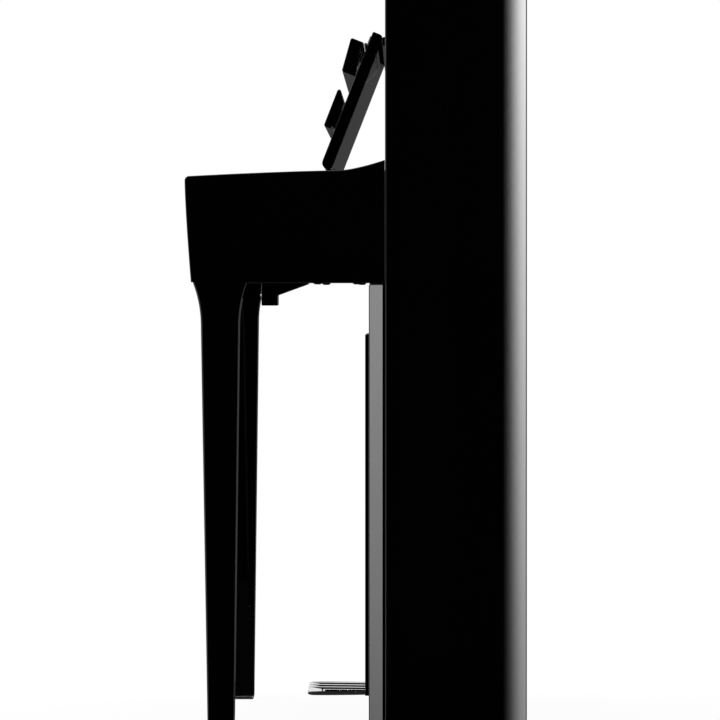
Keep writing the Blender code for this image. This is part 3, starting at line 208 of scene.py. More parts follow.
def finish_of(name):
    """A new material, and its empty tree."""
    made = bpy.data.materials.new(name)
    made.use_nodes = True
    return made, Finish(made.node_tree)


def shade(color, amount=1.0):
    return (color[0] * amount, color[1] * amount, color[2] * amount, 1.0)


# Finishes


def lacquer(f):
    """Polished black lacquer: a deep, nearly flat gloss with a faint peel in it."""
    look = bpy.context.scene.piano_finishes
    haze = f.noise(3.2, 3.0)
    f.surface(
        base_color=f.mix(haze, shade(look.lacquer, 0.85), shade(look.lacquer, 1.2)),
        roughness=f.spread(haze, 0.004, 0.009),
        normal=f.bump(f.noise(85.0, 1.0), look.peel, 0.02),
        ior=1.5,
    )


def satin_black(f):
    """Sprayed black of the boards that are seen little, with a soft sheen."""
    look = bpy.context.scene.piano_finishes
    cloud = f.noise(14.0, 3.0)
    f.surface(
        base_color=f.mix(cloud, shade(look.satin, 0.8), shade(look.satin, 1.25)),
        roughness=f.spread(cloud, 0.16, 0.24),
        specular_ior_level=0.35,
        normal=f.bump(f.noise(900.0, 2.0), 0.00002, 0.1),
    )


def satin_edge(f):
    """Sanded end of the lower front board, its own gray with painted shade towards the floor."""
    board_height = 0.63
    # Painted shade: the base colour is darker from the top of the board down to the floor
    painted_shade = f.spread(f.axis("Z") / board_height, 0.118, 0.215)
    grain = f.noise(120.0, 3.0, (1, 1, 0.06))
    fleck = f.mix(grain, (0.93, 0.93, 0.93, 1), (1.0, 1.0, 1.0, 1))
    f.surface(
        base_color=f.mix(1.0, f.gray(painted_shade), fleck, "MULTIPLY"),
        roughness=0.62,
        specular_ior_level=0.2,
    )


def key_white(f):
    """Moulded ivory-coloured key cover: fine grain lines along the key."""
    look = bpy.context.scene.piano_finishes
    grain = f.noise(520.0, 2.0, (1, 0.05, 1))
    f.surface(
        base_color=f.mix(f.noise(9.0, 2.0), shade(look.ivory, 0.95), shade(look.ivory, 1.03)),
        roughness=f.spread(grain, 0.2, 0.3),
        normal=f.bump(grain, 0.00001, 0.12),
    )


def wood(f):
    """Planed spruce of the key sticks: straight grain along Y."""
    ring = f.noise(150.0, 4.0, (1, 0.03, 1))
    pore = f.noise(1400.0, 2.0, (1, 0.05, 1))
    tones = [(0.3, (0.50, 0.33, 0.17)), (0.6, (0.68, 0.49, 0.28)), (0.8, (0.74, 0.56, 0.34))]
    f.surface(
        base_color=f.mix(pore * 0.25, f.ramp(ring, tones), (0.4, 0.25, 0.12, 1)),
        roughness=f.spread(pore, 0.5, 0.68),
        normal=f.bump(pore, 0.0001, 0.4),
    )


def board_green(f):
    """Solder mask with the faint relief of its tracks."""
    settings = {"feature": "DISTANCE_TO_EDGE", "distance": "MANHATTAN"}
    links = {"Vector": f.place(), "Scale": 95.0}
    track = f.node("ShaderNodeTexVoronoi", settings, links)["Distance"] < 0.035
    f.surface(
        base_color=f.mix(track, (0.012, 0.10, 0.04, 1), (0.03, 0.19, 0.075, 1)),
        roughness=f.spread(track, 0.45, 0.35),
        normal=f.bump(track, 0.00004, 0.6),
    )


def moulded(f, tone, low, high):
    """Moulded plastic or rubber with a fine spark-eroded grain."""
    spark = f.noise(1500.0, 2.0)
    f.surface(
        base_color=f.mix(f.noise(20.0, 2.0), shade(tone, 0.8), shade(tone, 1.2)),
        roughness=f.spread(spark, low, high),
        normal=f.bump(spark, 0.00006, 0.5),
    )


def chrome(f):
    """Plated pedals and buttons: mirror bright, with faint rub marks."""
    rub = f.noise(260.0, 3.0, (1, 0.08, 1))
    roughness = f.spread(rub, 0.035, 0.1)
    f.surface(base_color=(0.78, 0.78, 0.775, 1), metallic=1.0, roughness=roughness)


def felt(f, dark, light):
    """Pressed wool: short fibres in every direction."""
    fibre = f.noise(900.0, 4.0, roughness=0.75)
    f.surface(
        base_color=f.mix(fibre, shade(dark), shade(light)),
        roughness=0.95,
        sheen_weight=0.25,
        normal=f.bump(fibre, 0.0004, 0.7),
    )


def grained(f, grain, dark, light, rough, relief, rest):
    """A finish whose colour, roughness and relief all follow one grain."""
    grain = f.noise(*grain)
    if relief:
        rest = {**rest, "normal": f.bump(grain, *relief)}
    color = f.mix(grain, shade(dark), shade(light))
    f.surface(base_color=color, roughness=f.spread(grain, *rough), **rest)


METAL = {"metallic": 1.0}

# The function that makes each finish, and its values. A grained one has its grain, dark and
# light tones, roughness, relief and the rest.
FINISHES = {
    "polished_black": (lacquer,),
    "satin_black": (satin_black,),
    "satin_edge": (satin_edge,),
    "key_white": (key_white,),
    "wood": (wood,),
    "board_green": (board_green,),
    "chrome": (chrome,),
    "plastic": (moulded, (0.022, 0.022, 0.024), 0.38, 0.5),
    "pale_plastic": (moulded, (0.72, 0.72, 0.72), 0.38, 0.5),
    "rubber": (moulded, (0.014, 0.014, 0.014), 0.7, 0.9),
    "chip": (moulded, (0.016, 0.016, 0.018), 0.5, 0.6),
    "felt": (felt, (0.012, 0.012, 0.014), (0.05, 0.05, 0.055)),
    "felt_red": (felt, (0.16, 0.012, 0.014), (0.34, 0.04, 0.04)),
    # Stained and unpolished: nearly no sheen, even at a grazing view
    "stained_black": (
        grained,
        (900.0, 2.0, (0.05, 1, 1)),
        (0.0012, 0.0012, 0.0012),
        (0.003, 0.003, 0.003),
        (0.75, 0.9),
        None,
        {"specular_ior_level": 0.03},
    ),
    # Matt ebony
    "key_black": (
        grained,
        (700.0, 2.0, (1, 0.04, 1)),
        (0.006, 0.006, 0.006),
        (0.018, 0.017, 0.017),
        (0.32, 0.46),
        (0.00005, 0.4),
        {},
    ),
    # Zinc plating of screws, magnets and brackets
    "steel": (
        grained, (70.0, 4.0), (0.42, 0.42, 0.44), (0.6, 0.6, 0.61), (0.24, 0.42), None, METAL
    ),
    # Black nickel of the long hinges
    "dark_metal": (
        grained, (90.0, 3.0), (0.05, 0.05, 0.052), (0.10, 0.10, 0.105), (0.2, 0.32), None, METAL
    ),
    # Drawn brass of pins, contacts and the slider's scale
    "brass": (
        grained,
        (600.0, 2.0, (1, 1, 0.05)),
        (0.72, 0.5, 0.2),
        (0.85, 0.63, 0.3),
        (0.18, 0.34),
        None,
        METAL,
    ),
    # Smoked glass over the display
    "window": (
        grained,
        (60.0, 2.0),
        (0.008, 0.009, 0.011),
        (0.014, 0.016, 0.02),
        (0.03, 0.06),
        None,
        {"ior": 1.5},
    ),
    # Pressed paper with fibres in it
    "cone_paper": (
        grained,
        (420.0, 5.0, (1, 1, 1), 0.8),
        (0.012, 0.012, 0.013),
        (0.045, 0.044, 0.042),
        (0.75, 0.95),
        (0.0003, 0.6),
        {},
    ),
}


def finish(name):
    """The finish by its name, made the first time that it's asked for."""
    known = bpy.data.materials.get("piano_" + name)
    if known:
        return known
    made, f = finish_of("piano_" + name)
    make, *values = FINISHES[name]
    make(f, *values)
    return made


# Making pieces

SMOOTH = radians(34)
SMOOTH_ROUND = radians(50)
WELD = 0.00002
FLAT_WITHIN = radians(0.8)

# Radii of the edges that aren't lacquered
GLASS_EDGE, PIN_EDGE, PLANK_EDGE, PLATE_EDGE, CAST_EDGE = 0.0002, 0.0003, 0.0004, 0.0005, 0.0006

SLOTS = {
    "cone_paper": "plastic",
    "dark_metal": "steel",
    "brass": "steel",
    "chip": "plastic",
    **{row["slot"]: row["slot"] for row in frame["record"]["materials"]},
}


def body_of(node):
    return frame["nodes"][node]["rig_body"]


def box_of(node):
    """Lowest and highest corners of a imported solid."""
    low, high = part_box(node)
    return Vector(low), Vector(high)


def lean_normals(mesh, limit):
    """Corner normals that follow the larger faces, so that flat lacquer mirrors flat."""
    turn = cos(limit)
    around = [[] for _ in mesh.vertices]
    pull = [(face.normal.copy(), face.area**2 + 1e-18) for face in mesh.polygons]
    for face in mesh.polygons:
        for vertex in face.vertices:
            around[vertex].append(face.index)
    corners = []
    for face in mesh.polygons:
        own = pull[face.index][0]
        for vertex in face.vertices:
            total = Vector((0, 0, 0))
            for near in around[vertex]:
                normal, strength = pull[near]
                if own.dot(normal) > turn:
                    total += normal * strength
            corners.append(total.normalized())
    mesh.normals_split_custom_set(corners)


def put(name, bm, materials):
    """An object in the scene, with the shape and its materials."""
    mesh = bpy.data.meshes.new(name)
    bm.to_mesh(mesh)
    bm.free()
    for material in materials:
        mesh.materials.append(material)
    made = bpy.data.objects.new(name, mesh)
    bpy.context.scene.collection.objects.link(made)
    return made


def place_piece(name, bm, finishes, body, nodes=(), smooth=SMOOTH):
    """Puts a finished shape in the scene, riding on its body and standing for its solids."""
    bmesh.ops.recalc_face_normals(bm, faces=bm.faces)
    names = [finishes] if isinstance(finishes, str) else finishes
    piece = put(name, bm, [finish(each) for each in names])
    piece.data.shade_smooth()
    piece.data.set_sharp_from_angle(angle=smooth)
    lean_normals(piece.data, smooth)
    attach(piece, body)
    if names[0] in SLOTS:
        SLOTS[names[0]]
    if nodes:
        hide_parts(*nodes)


def bevel(bm, edges, width, steps, clamp=False):
    bmesh.ops.bevel(
        bm,
        geom=edges,
        offset=width,
        offset_type="OFFSET",
        segments=steps,
        profile=0.5,
        affect="EDGES",
        clamp_overlap=clamp,
    )


def ease_edges(bm, width, steps=2, angle=28.0):
    """Rounds the edges of a shape that turn by more than the angle."""
    limit = radians(angle)
    sharp = [e for e in bm.edges if e.is_manifold and e.calc_face_angle(0) > limit]
    bevel(bm, sharp, width, steps, clamp=True)


def eased(node, name, finishes, width, steps=2, angle=28.0, smooth=SMOOTH, paint=None, cuts=()):
    """A finer piece on a solid's own shape: its edges rounded, its parts painted by place."""
    bm = bmesh.new()
    bm.from_mesh(frame["nodes"][node].data)
    bmesh.ops.remove_doubles(bm, verts=bm.verts, dist=WELD)
    bmesh.ops.dissolve_limit(
        bm,
        angle_limit=FLAT_WITHIN,
        use_dissolve_boundaries=False,
        verts=bm.verts,
        edges=bm.edges,
    )
    ease_edges(bm, width, steps, angle)
    for point, square in cuts:
        everything = [*bm.verts, *bm.edges, *bm.faces]
        bmesh.ops.bisect_plane(bm, geom=everything, plane_co=point, plane_no=square, dist=1e-6)
    bmesh.ops.recalc_face_normals(bm, faces=bm.faces)
    if paint:
        for face in bm.faces:
            face.material_index = paint(face.calc_center_median(), face.normal)
    place_piece(name, bm, finishes, body_of(node), (node,), smooth)


def lacquered(node, width, **ways):
    eased(node, f"{node}_lacquered", "polished_black", width, **ways)


def cuboid(bm, low, high):
    made = bmesh.ops.create_cube(bm, size=1.0)["verts"]
    bmesh.ops.scale(bm, verts=made, vec=[b - a for a, b in zip(low, high)])
    bmesh.ops.translate(bm, verts=made, vec=[(a + b) / 2 for a, b in zip(low, high)])


def loft(bm, rings):
    """Skins rings of as many points each, and closes both ends."""
    skins = [[bm.verts.new(p) for p in ring] for ring in rings]
    bm.faces.new(skins[0])
    bm.faces.new(reversed(skins[-1]))
    for near, far in zip(skins, skins[1:]):
        for i, j in ring_pairs(len(near)):
            bm.faces.new((near[j], near[i], far[i], far[j]))


def prism(bm, outline, start, end, place):
    """Extrudes a closed outline; place(a, b, t) gives the point at depth t."""
    loft(bm, [[place(a, b, t) for a, b in outline] for t in (start, end)])


def ring_pairs(count):
    return [(i, (i + 1) % count) for i in range(count)]


def across(a, b, t):
    return (t, a, b)


def along(a, b, t):
    return (a, t, b)


def arc(center, radius, start, end, steps):
    turns = [radians(start + (end - start) * i / steps) for i in range(steps + 1)]
    return [(center[0] + radius * cos(t), center[1] + radius * sin(t)) for t in turns]


def spaced(start, end, steps):
    return [start + (end - start) * i / steps for i in range(steps + 1)]


def turned(bm, profile, center, axis, sides):
    """Revolves (radius, height) points round an axis; a radius of 0 closes the end."""
    axis = Vector(axis).normalized()
    square = Vector((0, 0, 1)) if abs(axis.z) < 0.9 else Vector((1, 0, 0))
    side = axis.cross(square).normalized()
    other = axis.cross(side)
    turns = [2 * pi * i / sides for i in range(sides)]
    rings = []
    for radius, height in profile:
        base = Vector(center) + axis * height
        points = [base + radius * (side * cos(t) + other * sin(t)) for t in turns]
        rings.append([bm.verts.new(point) for point in (points if radius else [base])])
    for near, far in zip(rings, rings[1:]):
        for i, j in ring_pairs(sides):
            if len(near) == 1:
                bm.faces.new((near[0], far[i], far[j]))
            elif len(far) == 1:
                bm.faces.new((near[j], near[i], far[0]))
            else:
                bm.faces.new((near[j], near[i], far[i], far[j]))


def screw_head(bm, center, axis, radius, height):
    """A pan head with a round recess, its flat side on the surface."""
    dome = [(radius * cos(radians(t)), height * sin(radians(t))) for t in (25, 50, 70)]
    foot, recess = -height * 0.2, radius * 0.42
    hollow = [(recess, height * 0.98), (recess * 0.8, height * 0.45), (0, height * 0.3)]
    profile = [(0, foot), (radius, foot), (radius, 0), *dome, *hollow]
    turned(bm, profile, center, axis, 20)


# Sizes and colours that a user would change


class PianoSizes(bpy.types.PropertyGroup):
    """Small sizes of the looks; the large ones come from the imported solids."""

    edge: bpy.props.FloatProperty(
        name="Lacquer edge",
        description="Radius that the lacquered edges are sanded to",
        default=0.0011,
        min=0.0002,
        max=0.0014,
        unit="LENGTH",
    )
    key_edge: bpy.props.FloatProperty(
        name="Key edge",
        description="Radius of the edges of a natural's cover",
        default=0.0005,
        min=0.0001,
        max=0.0008,
        unit="LENGTH",
    )
    knuckle: bpy.props.FloatProperty(
        name="Hinge knuckle",
        description="Length of one knuckle of the long hinges",
        default=0.0254,
        min=0.01,
        max=0.06,
        unit="LENGTH",
    )
    hinge_screw: bpy.props.FloatProperty(
        name="Hinge screw spacing",
        description="Distance between the screws of the long hinges",
        default=0.075,
        min=0.03,
        max=0.2,
        unit="LENGTH",
    )


class PianoFinishes(bpy.types.PropertyGroup):
    """Colours and the depth of the lacquer's peel."""

    lacquer: bpy.props.FloatVectorProperty(
        name="Lacquer",
        description="Colour of the polished lacquer",
        subtype="COLOR",
        default=(0.0004, 0.0004, 0.00045),
        min=0.0,
        max=1.0,
    )
    satin: bpy.props.FloatVectorProperty(
        name="Satin",
        description="Colour of the satin boards",
        subtype="COLOR",
        default=(0.0016, 0.0016, 0.0017),
        min=0.0,
        max=1.0,
    )
    ivory: bpy.props.FloatVectorProperty(
        name="Ivory",
        description="Colour of the naturals' covers",
        subtype="COLOR",
        default=(0.80, 0.775, 0.70),
        min=0.0,
        max=1.0,
    )
    peel: bpy.props.FloatProperty(
        name="Lacquer peel",
        description="Height of the waves in the lacquer",
        default=0.00002,
        min=0.0,
        max=0.001,
        unit="LENGTH",
        precision=6,
    )


# Cabinet

CRISP = 0.35
BACK_SCREW_IN = 0.009
BACK_SCREW = (0.0038, 0.0014)


def dress_side_panels(sizes):
    for end in ("treble", "bass"):
        lacquered(f"side_panel_{end}", sizes.edge * CRISP)


def dress_boards(sizes):
    lacquered("top_board", sizes.edge * CRISP)
    lacquered("upper_front_panel", sizes.edge * CRISP)
    eased("bottom_board", "bottom_board_sprayed", "satin_black", sizes.edge * 0.6)
    side = box_of("lower_front_board")[1].x - 0.001

    def ends(middle, normal):
        return 1 if abs(normal.x) > 0.9 and abs(middle.x) > side else 0

    finishes = ("polished_black", "satin_edge")
    name = "lower_front_board_lacquered"
    eased("lower_front_board", name, finishes, sizes.edge * CRISP, paint=ends)
    lacquered("pedal_panel", sizes.edge * 0.6)


def dress_back(sizes):
    """The back, with the row of screws that holds it."""
    eased("back_panel", "back_panel_sprayed", "satin_black", sizes.edge * 0.4)
    low, high = box_of("back_panel")
    xs = spaced(low.x + BACK_SCREW_IN, high.x - BACK_SCREW_IN, 10)
    zs = spaced(low.z + BACK_SCREW_IN, high.z - BACK_SCREW_IN, 7)
    spots = [(x, z) for x in xs for z in (zs[0], zs[-1])]
    spots += [(x, z) for z in zs[1:-1] for x in (xs[0], xs[-1])]
    heads = bmesh.new()
    for x, z in spots:
        screw_head(heads, (x, high.y, z), (0, 1, 0), *BACK_SCREW)
    place_piece("back_panel_screws", heads, "steel", "casing")


# Arms and legs: the outlines of the solids, with more points round each curve

ARM_NOSE = 0.0062
ARM_FRONT_H = 0.1438
ARM_MID_H = 0.1515
ARM_SWEEP = 0.0615
ARM_REAR_GAP = 0.0003
ARM_TOE = 0.0085
RISE_CURVE, SWEEP_CURVE, FRONT_CURVE = 1.4, 1.45, 1.35

FOOT_DEPTH, NECK_DEPTH, HEAD_DEPTH = 0.0350, 0.0515, 0.0735
FOOT_WIDTH = 0.058
LEG_LEAN = 0.0095
FLARE_H = 0.062
FLARE_CURVE = 2.2
LEG_FRONT_EDGE, LEG_REAR_EDGE = 0.0022, 0.0009
SEAM_INSET, SEAM_BELOW, SEAM_ABOVE = 0.0003, 0.0014, 0.0001
PACKING_IN = 0.001


def arm_section():
    """Side outline of an arm: bulging front, round nose, slow rise, hollow sweep."""
    low, high = box_of("arm_treble")
    front_z, mid_z = low.z + ARM_FRONT_H, low.z + ARM_MID_H
    sweep_y = high.y + ARM_REAR_GAP - ARM_SWEEP
    nose_y, nose_z = low.y + ARM_NOSE, front_z - ARM_NOSE

    def top(y):
        share = min((y - nose_y) / (sweep_y - nose_y), 1.0)
        height = front_z + (mid_z - front_z) * (1 - (1 - share) ** RISE_CURVE)
        if y > sweep_y:
            height += (high.z - mid_z) * ((y - sweep_y) / (high.y - sweep_y)) ** SWEEP_CURVE
        return height

    def front(z):
        return low.y + ARM_TOE * max(0.0, 1 - (z - low.z) / (nose_z - low.z)) ** FRONT_CURVE

    outline = [(high.y, low.z)]
    outline += [(front(z), z) for z in spaced(low.z, nose_z, 20)][:-1]
    outline += arc((nose_y, nose_z), ARM_NOSE, 180, 90, 12)
    outline += [(y, top(y)) for y in spaced(nose_y, sweep_y, 14)][1:]
    outline += [(y, top(y)) for y in spaced(sweep_y, high.y, 14)][1:]
    return outline


def rim_eased(bm, width, steps, picked):
    """Rounds the edges between the flat ends of a prism and its long faces, where picked."""
    rim = []
    for edge in bm.edges:
        if edge.is_manifold and picked(edge) and edge.calc_face_angle(0) > radians(50):
            rim.append(edge)
    bevel(bm, rim, width, steps)


def dress_arms(sizes):
    """The arms: a fair edge above and in front, a nearly sharp one below and behind."""
    for node in ("arm_treble", "arm_bass"):
        low, high = box_of(node)

        def hidden(edge):
            below = max(v.co.z for v in edge.verts) < low.z + 0.0005
            behind = min(v.co.y for v in edge.verts) > high.y - 0.0013
            return below or behind

        bm = bmesh.new()
        prism(bm, arm_section(), low.x, high.x, across)
        bmesh.ops.recalc_face_normals(bm, faces=bm.faces)
        rim_eased(bm, sizes.edge, 3, lambda edge: not hidden(edge))
        rim_eased(bm, sizes.edge * 0.3, 2, hidden)
        place_piece(f"{node}_lacquered", bm, "polished_black", "casing", (node,))


def leg_section(sign, z, low, high):
    """Rounded rectangle of a leg at a height, on the piano's outer side."""
    neck = high.z - FLARE_H
    grow = min((z - low.z) / (neck - low.z), 1.0)
    flare = max(0.0, (z - neck) / FLARE_H) ** FLARE_CURVE
    head_reach = (HEAD_DEPTH - NECK_DEPTH) / 2
    depth = FOOT_DEPTH + (NECK_DEPTH - FOOT_DEPTH) * grow + (HEAD_DEPTH - NECK_DEPTH) * flare
    front = low.y + head_reach + LEG_LEAN * (1 - grow) - head_reach * flare
    width = FOOT_WIDTH + (high.x - low.x - FOOT_WIDTH) * grow
    outer = high.x if sign > 0 else low.x
    x0, x1 = sorted((outer, outer - sign * width))
    rear, r, s = front + depth, LEG_FRONT_EDGE, LEG_REAR_EDGE
    ring = arc((x1 - r, front + r), r, -90, 0, 5)
    ring += arc((x1 - s, rear - s), s, 0, 90, 5)
    ring += arc((x0 + s, rear - s), s, 90, 180, 5)
    ring += arc((x0 + r, front + r), r, 180, 270, 5)
    return [(x, y, z) for x, y in ring]


def dress_legs(sizes):
    """Flared legs on their pads, with a pale seam under them and a packing on top."""
    for end, sign in (("treble", 1), ("bass", -1)):
        node = f"leg_{end}"
        low, high = box_of(node)
        neck = high.z - FLARE_H
        heights = [low.z, low.z + sizes.edge, *spaced(low.z + 0.03, neck, 6)]
        heights += spaced(neck, high.z, 16)[1:]
        bm = bmesh.new()
        loft(bm, [leg_section(sign, z, low, high) for z in heights])
        name = f"leg_{end}_lacquered"
        place_piece(name, bm, "polished_black", "casing", (node,), SMOOTH_ROUND)
        eased(f"leg_pad_{end}", f"leg_pad_{end}_rubber", "rubber", CAST_EDGE)
        pad_low, pad_high = box_of(f"leg_pad_{end}")
        inset = Vector((SEAM_INSET, SEAM_INSET, 0))
        seam_low, seam_high = pad_low + inset, pad_high - inset
        seam_low.z, seam_high.z = pad_high.z - SEAM_BELOW, low.z + SEAM_ABOVE
        seam = bmesh.new()
        cuboid(seam, seam_low, seam_high)
        place_piece(f"leg_seam_{end}", seam, "pale_plastic", "casing")
        packing(f"leg_packing_{end}", node, PACKING_IN)


def packing(name, node, inset):
    """Thin black sheet that fills the gap between a piece's top and the arms' underside."""
    low, high = box_of(node)
    above = box_of("arm_treble")[0].z
    sheet = bmesh.new()
    foot = (low.x + inset, low.y + inset, high.z - 0.0002)
    cuboid(sheet, foot, (high.x - inset, high.y - inset, above))
    place_piece(name, sheet, "stained_black", "casing")


# Keyboard

COVER_THICK, CAP_THICK = 0.0023, 0.0030
COVER_FRONT = 0.0012
COVER_PAST_RAIL = 0.012
FELT_RADIUS, FELT_UP, FELT_DEPTH = 0.0012, 0.0016, 0.011

NATURALS = ("naturals_bass", *(f"key_{pitch}" for pitch in "cdefgab"), "naturals_treble")
SHARPS = ("sharps_bass", *(f"key_{pitch}_sharp" for pitch in "cdfga"), "sharps_treble")


def dress_keybed(sizes):
    """Stained keybed, the sheet below it, and the lacquered slip in front of the keys."""
    eased("keybed", "keybed_stained", "stained_black", sizes.edge * 0.3)
    packing("lower_board_felt", "lower_front_board", PACKING_IN)
    lacquered("key_slip", sizes.edge * 0.7)


def dress_blocks(sizes):
    """Key blocks and lid rail, with the red strip under the rail's front."""
    for node in ("key_block_treble", "key_block_bass", "lid_rail"):
        lacquered(node, sizes.edge * 0.5)
    low = box_of("lid_rail")[0]
    half = box_of("naturals_treble")[1].x
    z, rear = low.z + FELT_UP, low.y + FELT_DEPTH
    outline = arc((low.y - 0.0001, z), FELT_RADIUS, -90, -270, 8)
    outline += [(rear, z + FELT_RADIUS), (rear, z - FELT_RADIUS)]
    strip = bmesh.new()
    prism(strip, outline, -half, half, across)
    place_piece("name_strip_felt", strip, "felt_red", "casing")


def key_cuts(under, end):
    """Planes that part a key's cover from its stick."""
    return (((0, 0, under), (0, 0, 1)), ((0, end, 0), (0, 1, 0)))


def cover_end():
    """Where the keys' covers end, behind the front of the lid rail."""
    return box_of("lid_rail")[0].y + COVER_PAST_RAIL


def dress_naturals(sizes):
    """Spruce sticks under ivory-coloured covers with a lip down their fronts."""
    low, high = box_of("key_d")
    under, end, front = high.z - COVER_THICK, cover_end(), low.y + COVER_FRONT

    def covered(middle, normal):
        on_top = middle.z > under and middle.y < end
        return 0 if on_top or middle.y < front - 0.0001 else 1

    cuts = (*key_cuts(under, end), ((0, front, 0), (0, 1, 0)))
    for node in NATURALS:
        ways = {"angle": 40.0, "paint": covered, "cuts": cuts}
        eased(node, f"{node}_covered", ("key_white", "wood"), sizes.key_edge, **ways)


def dress_sharps(sizes):
    """Spruce sticks with ebony caps."""
    under, end = box_of("key_d")[1].z - CAP_THICK, cover_end()

    def capped(middle, normal):
        return 0 if middle.z > under and middle.y < end else 1

    for node in SHARPS:
        ways = {"angle": 25.0, "paint": capped, "cuts": key_cuts(under, end)}
        eased(node, f"{node}_ebony", ("key_black", "wood"), sizes.key_edge * 1.6, **ways)


# Key lid, lip and music ledge

LEAN = radians(21.4)
PIVOT = Vector(JOINTS["lid_swing"]["pos_m"])
LID_FACE = -0.019
BUTTON_UP, BUTTON_IN = 0.118, 0.06
BUTTON_DOME = [
    (0, -0.0002),
    (0.0042, -0.0002),
    (0.0042, 0.0003),
    (0.0034, 0.0012),
    (0.0018, 0.0016),
    (0, 0.0018),
]
ROUNDED = {"angle": 50.0, "smooth": SMOOTH_ROUND}

KNUCKLE_GAP = 0.0005
LEAF_GAP, LEAF_THICK, SMALL_LEAF_THICK = 0.0003, 0.0012, 0.0013
LEAF_REACH, LEAF_SCREW_AT = 0.0129, 0.0085
RAIL_SCREW_IN = 0.006


def lid_point(u, n, x=0.0):
    """A point of the open lid: u along it from its hinge, n square to it towards the back."""
    y = PIVOT.y + u * sin(LEAN) + n * cos(LEAN)
    return Vector((x, y, PIVOT.z + u * cos(LEAN) - n * sin(LEAN)))


def lid_frame(point):
    """The (u, n) of a point of the rest pose in the lid's own frame."""
    y, z = point[1] - PIVOT.y, point[2] - PIVOT.z
    return y * sin(LEAN) + z * cos(LEAN), y * cos(LEAN) - z * sin(LEAN)


def in_front():
    """The direction out of the lid's inner face."""
    return (lid_point(0, -1) - lid_point(0, 0)).normalized()


def dress_lid(sizes):
    """Lid, lip and ledge on their solids, with the rubber buttons between them."""
    for node in ("key_lid", "lid_lip", "music_ledge"):
        lacquered(node, sizes.edge * 0.5, **ROUNDED)
    half = box_of("key_lid")[1].x
    outer = half - BUTTON_IN
    buttons = bmesh.new()
    for x in (-outer, -half / 3, half / 3, outer):
        turned(buttons, BUTTON_DOME, lid_point(BUTTON_UP, LID_FACE, x), in_front(), 20)
    place_piece("lid_buttons", buttons, "rubber", "lid")


def knuckles(axis, radius, half, bodies, length):
    """Rows of knuckles round a hinge's axis: every other one turns with the other leaf."""
    count = round(2 * half / length)
    step, soft = 2 * half / count, radius * 0.14
    end = step - KNUCKLE_GAP
    profile = [(0, 0), (radius - soft, 0), (radius, soft)]
    profile += [(radius, end - soft), (radius - soft, end), (0, end)]
    rows = {body: bmesh.new() for body in bodies}
    for i in range(count):
        start = -half + step * i + KNUCKLE_GAP / 2
        turned(rows[bodies[i % 2]], profile, (start, *axis), (1, 0, 0), 18)
    return rows


def leaf_screws(bm, half, spacing, point, axis, radius):
    """Countersunk heads, nearly flush with the leaf."""
    end = half - spacing * 0.25
    for x in spaced(-end, end, max(2, round(2 * half / spacing))):
        screw_head(bm, point(x), axis, radius, 0.0002)


def lid_leaf(bm, half, axis, radius, spacing):
    """Leaf of the lid's own hinge, flat on the lid rail."""
    foot, rear = box_of("lid_rail")[1].z + LEAF_GAP, box_of("lid_hinge")[1].y
    top = foot + LEAF_THICK
    cuboid(bm, (-half, axis[0] + radius * 0.5, foot), (half, rear, top))
    ease_edges(bm, GLASS_EDGE, 1)
    leaf_screws(bm, half, spacing, lambda x: (x, rear - RAIL_SCREW_IN, top), (0, 0, 1), 0.0026)


def small_leaf(bm, half, axis, radius, toward, spacing):
    """Leaf flat on the lid, with the neck that carries the barrel clear of it."""
    u, n = lid_frame((0, *axis))
    back, neck = LID_FACE - LEAF_GAP, radius * 0.3
    face = back - SMALL_LEAF_THICK
    outline = [(-neck, n), (-neck, back), (LEAF_REACH, back), (LEAF_REACH, face)]
    outline += [(neck, face), (neck, n)]
    prism(bm, [(u + toward * a, b) for a, b in outline], -half, half, lid_point)
    place = u + toward * LEAF_SCREW_AT
    leaf_screws(bm, half, spacing, lambda x: lid_point(place, face, x), in_front(), 0.0022)


def dress_hinges(sizes):
    """Long hinges: a leaf with its screws, and knuckles that turn with one side or the other."""
    jobs = (
        ("lid_hinge", "lid_swing", 0.0024, ("casing", "lid"), 0),
        ("lip_hinge", "lip_swing", 0.0021, ("lid", "lip"), 1),
        ("ledge_hinge", "ledge_swing", 0.0021, ("lid", "ledge"), -1),
    )
    for node, joint, radius, bodies, toward in jobs:
        axis = JOINTS[joint]["pos_m"][1:]
        half = box_of(node)[1].x
        fixed, turning = bodies
        rows = knuckles(axis, radius, half, bodies, sizes.knuckle)
        if toward:
            small_leaf(rows[fixed], half, axis, radius, toward, sizes.hinge_screw)
        else:
            lid_leaf(rows[fixed], half, axis, radius, sizes.hinge_screw)
        place_piece(f"{node}_leaf", rows[fixed], "dark_metal", fixed, (node,))
        place_piece(f"{node}_knuckles", rows[turning], "dark_metal", turning)


def dress_stop_rail(sizes):
    """Slim lacquered rail that the open lid leans on."""
    lacquered("lid_stop_rail", sizes.edge * 0.3, **ROUNDED)


# Controls

SLOT_GAP, STEM_LAP = 0.0003, 0.0005
MARK_TRAVEL, MARK_THICK, MARK_AWAY = 0.015, 0.0004, 0.002
LONG_MARK, SHORT_MARK = 0.004, 0.0025


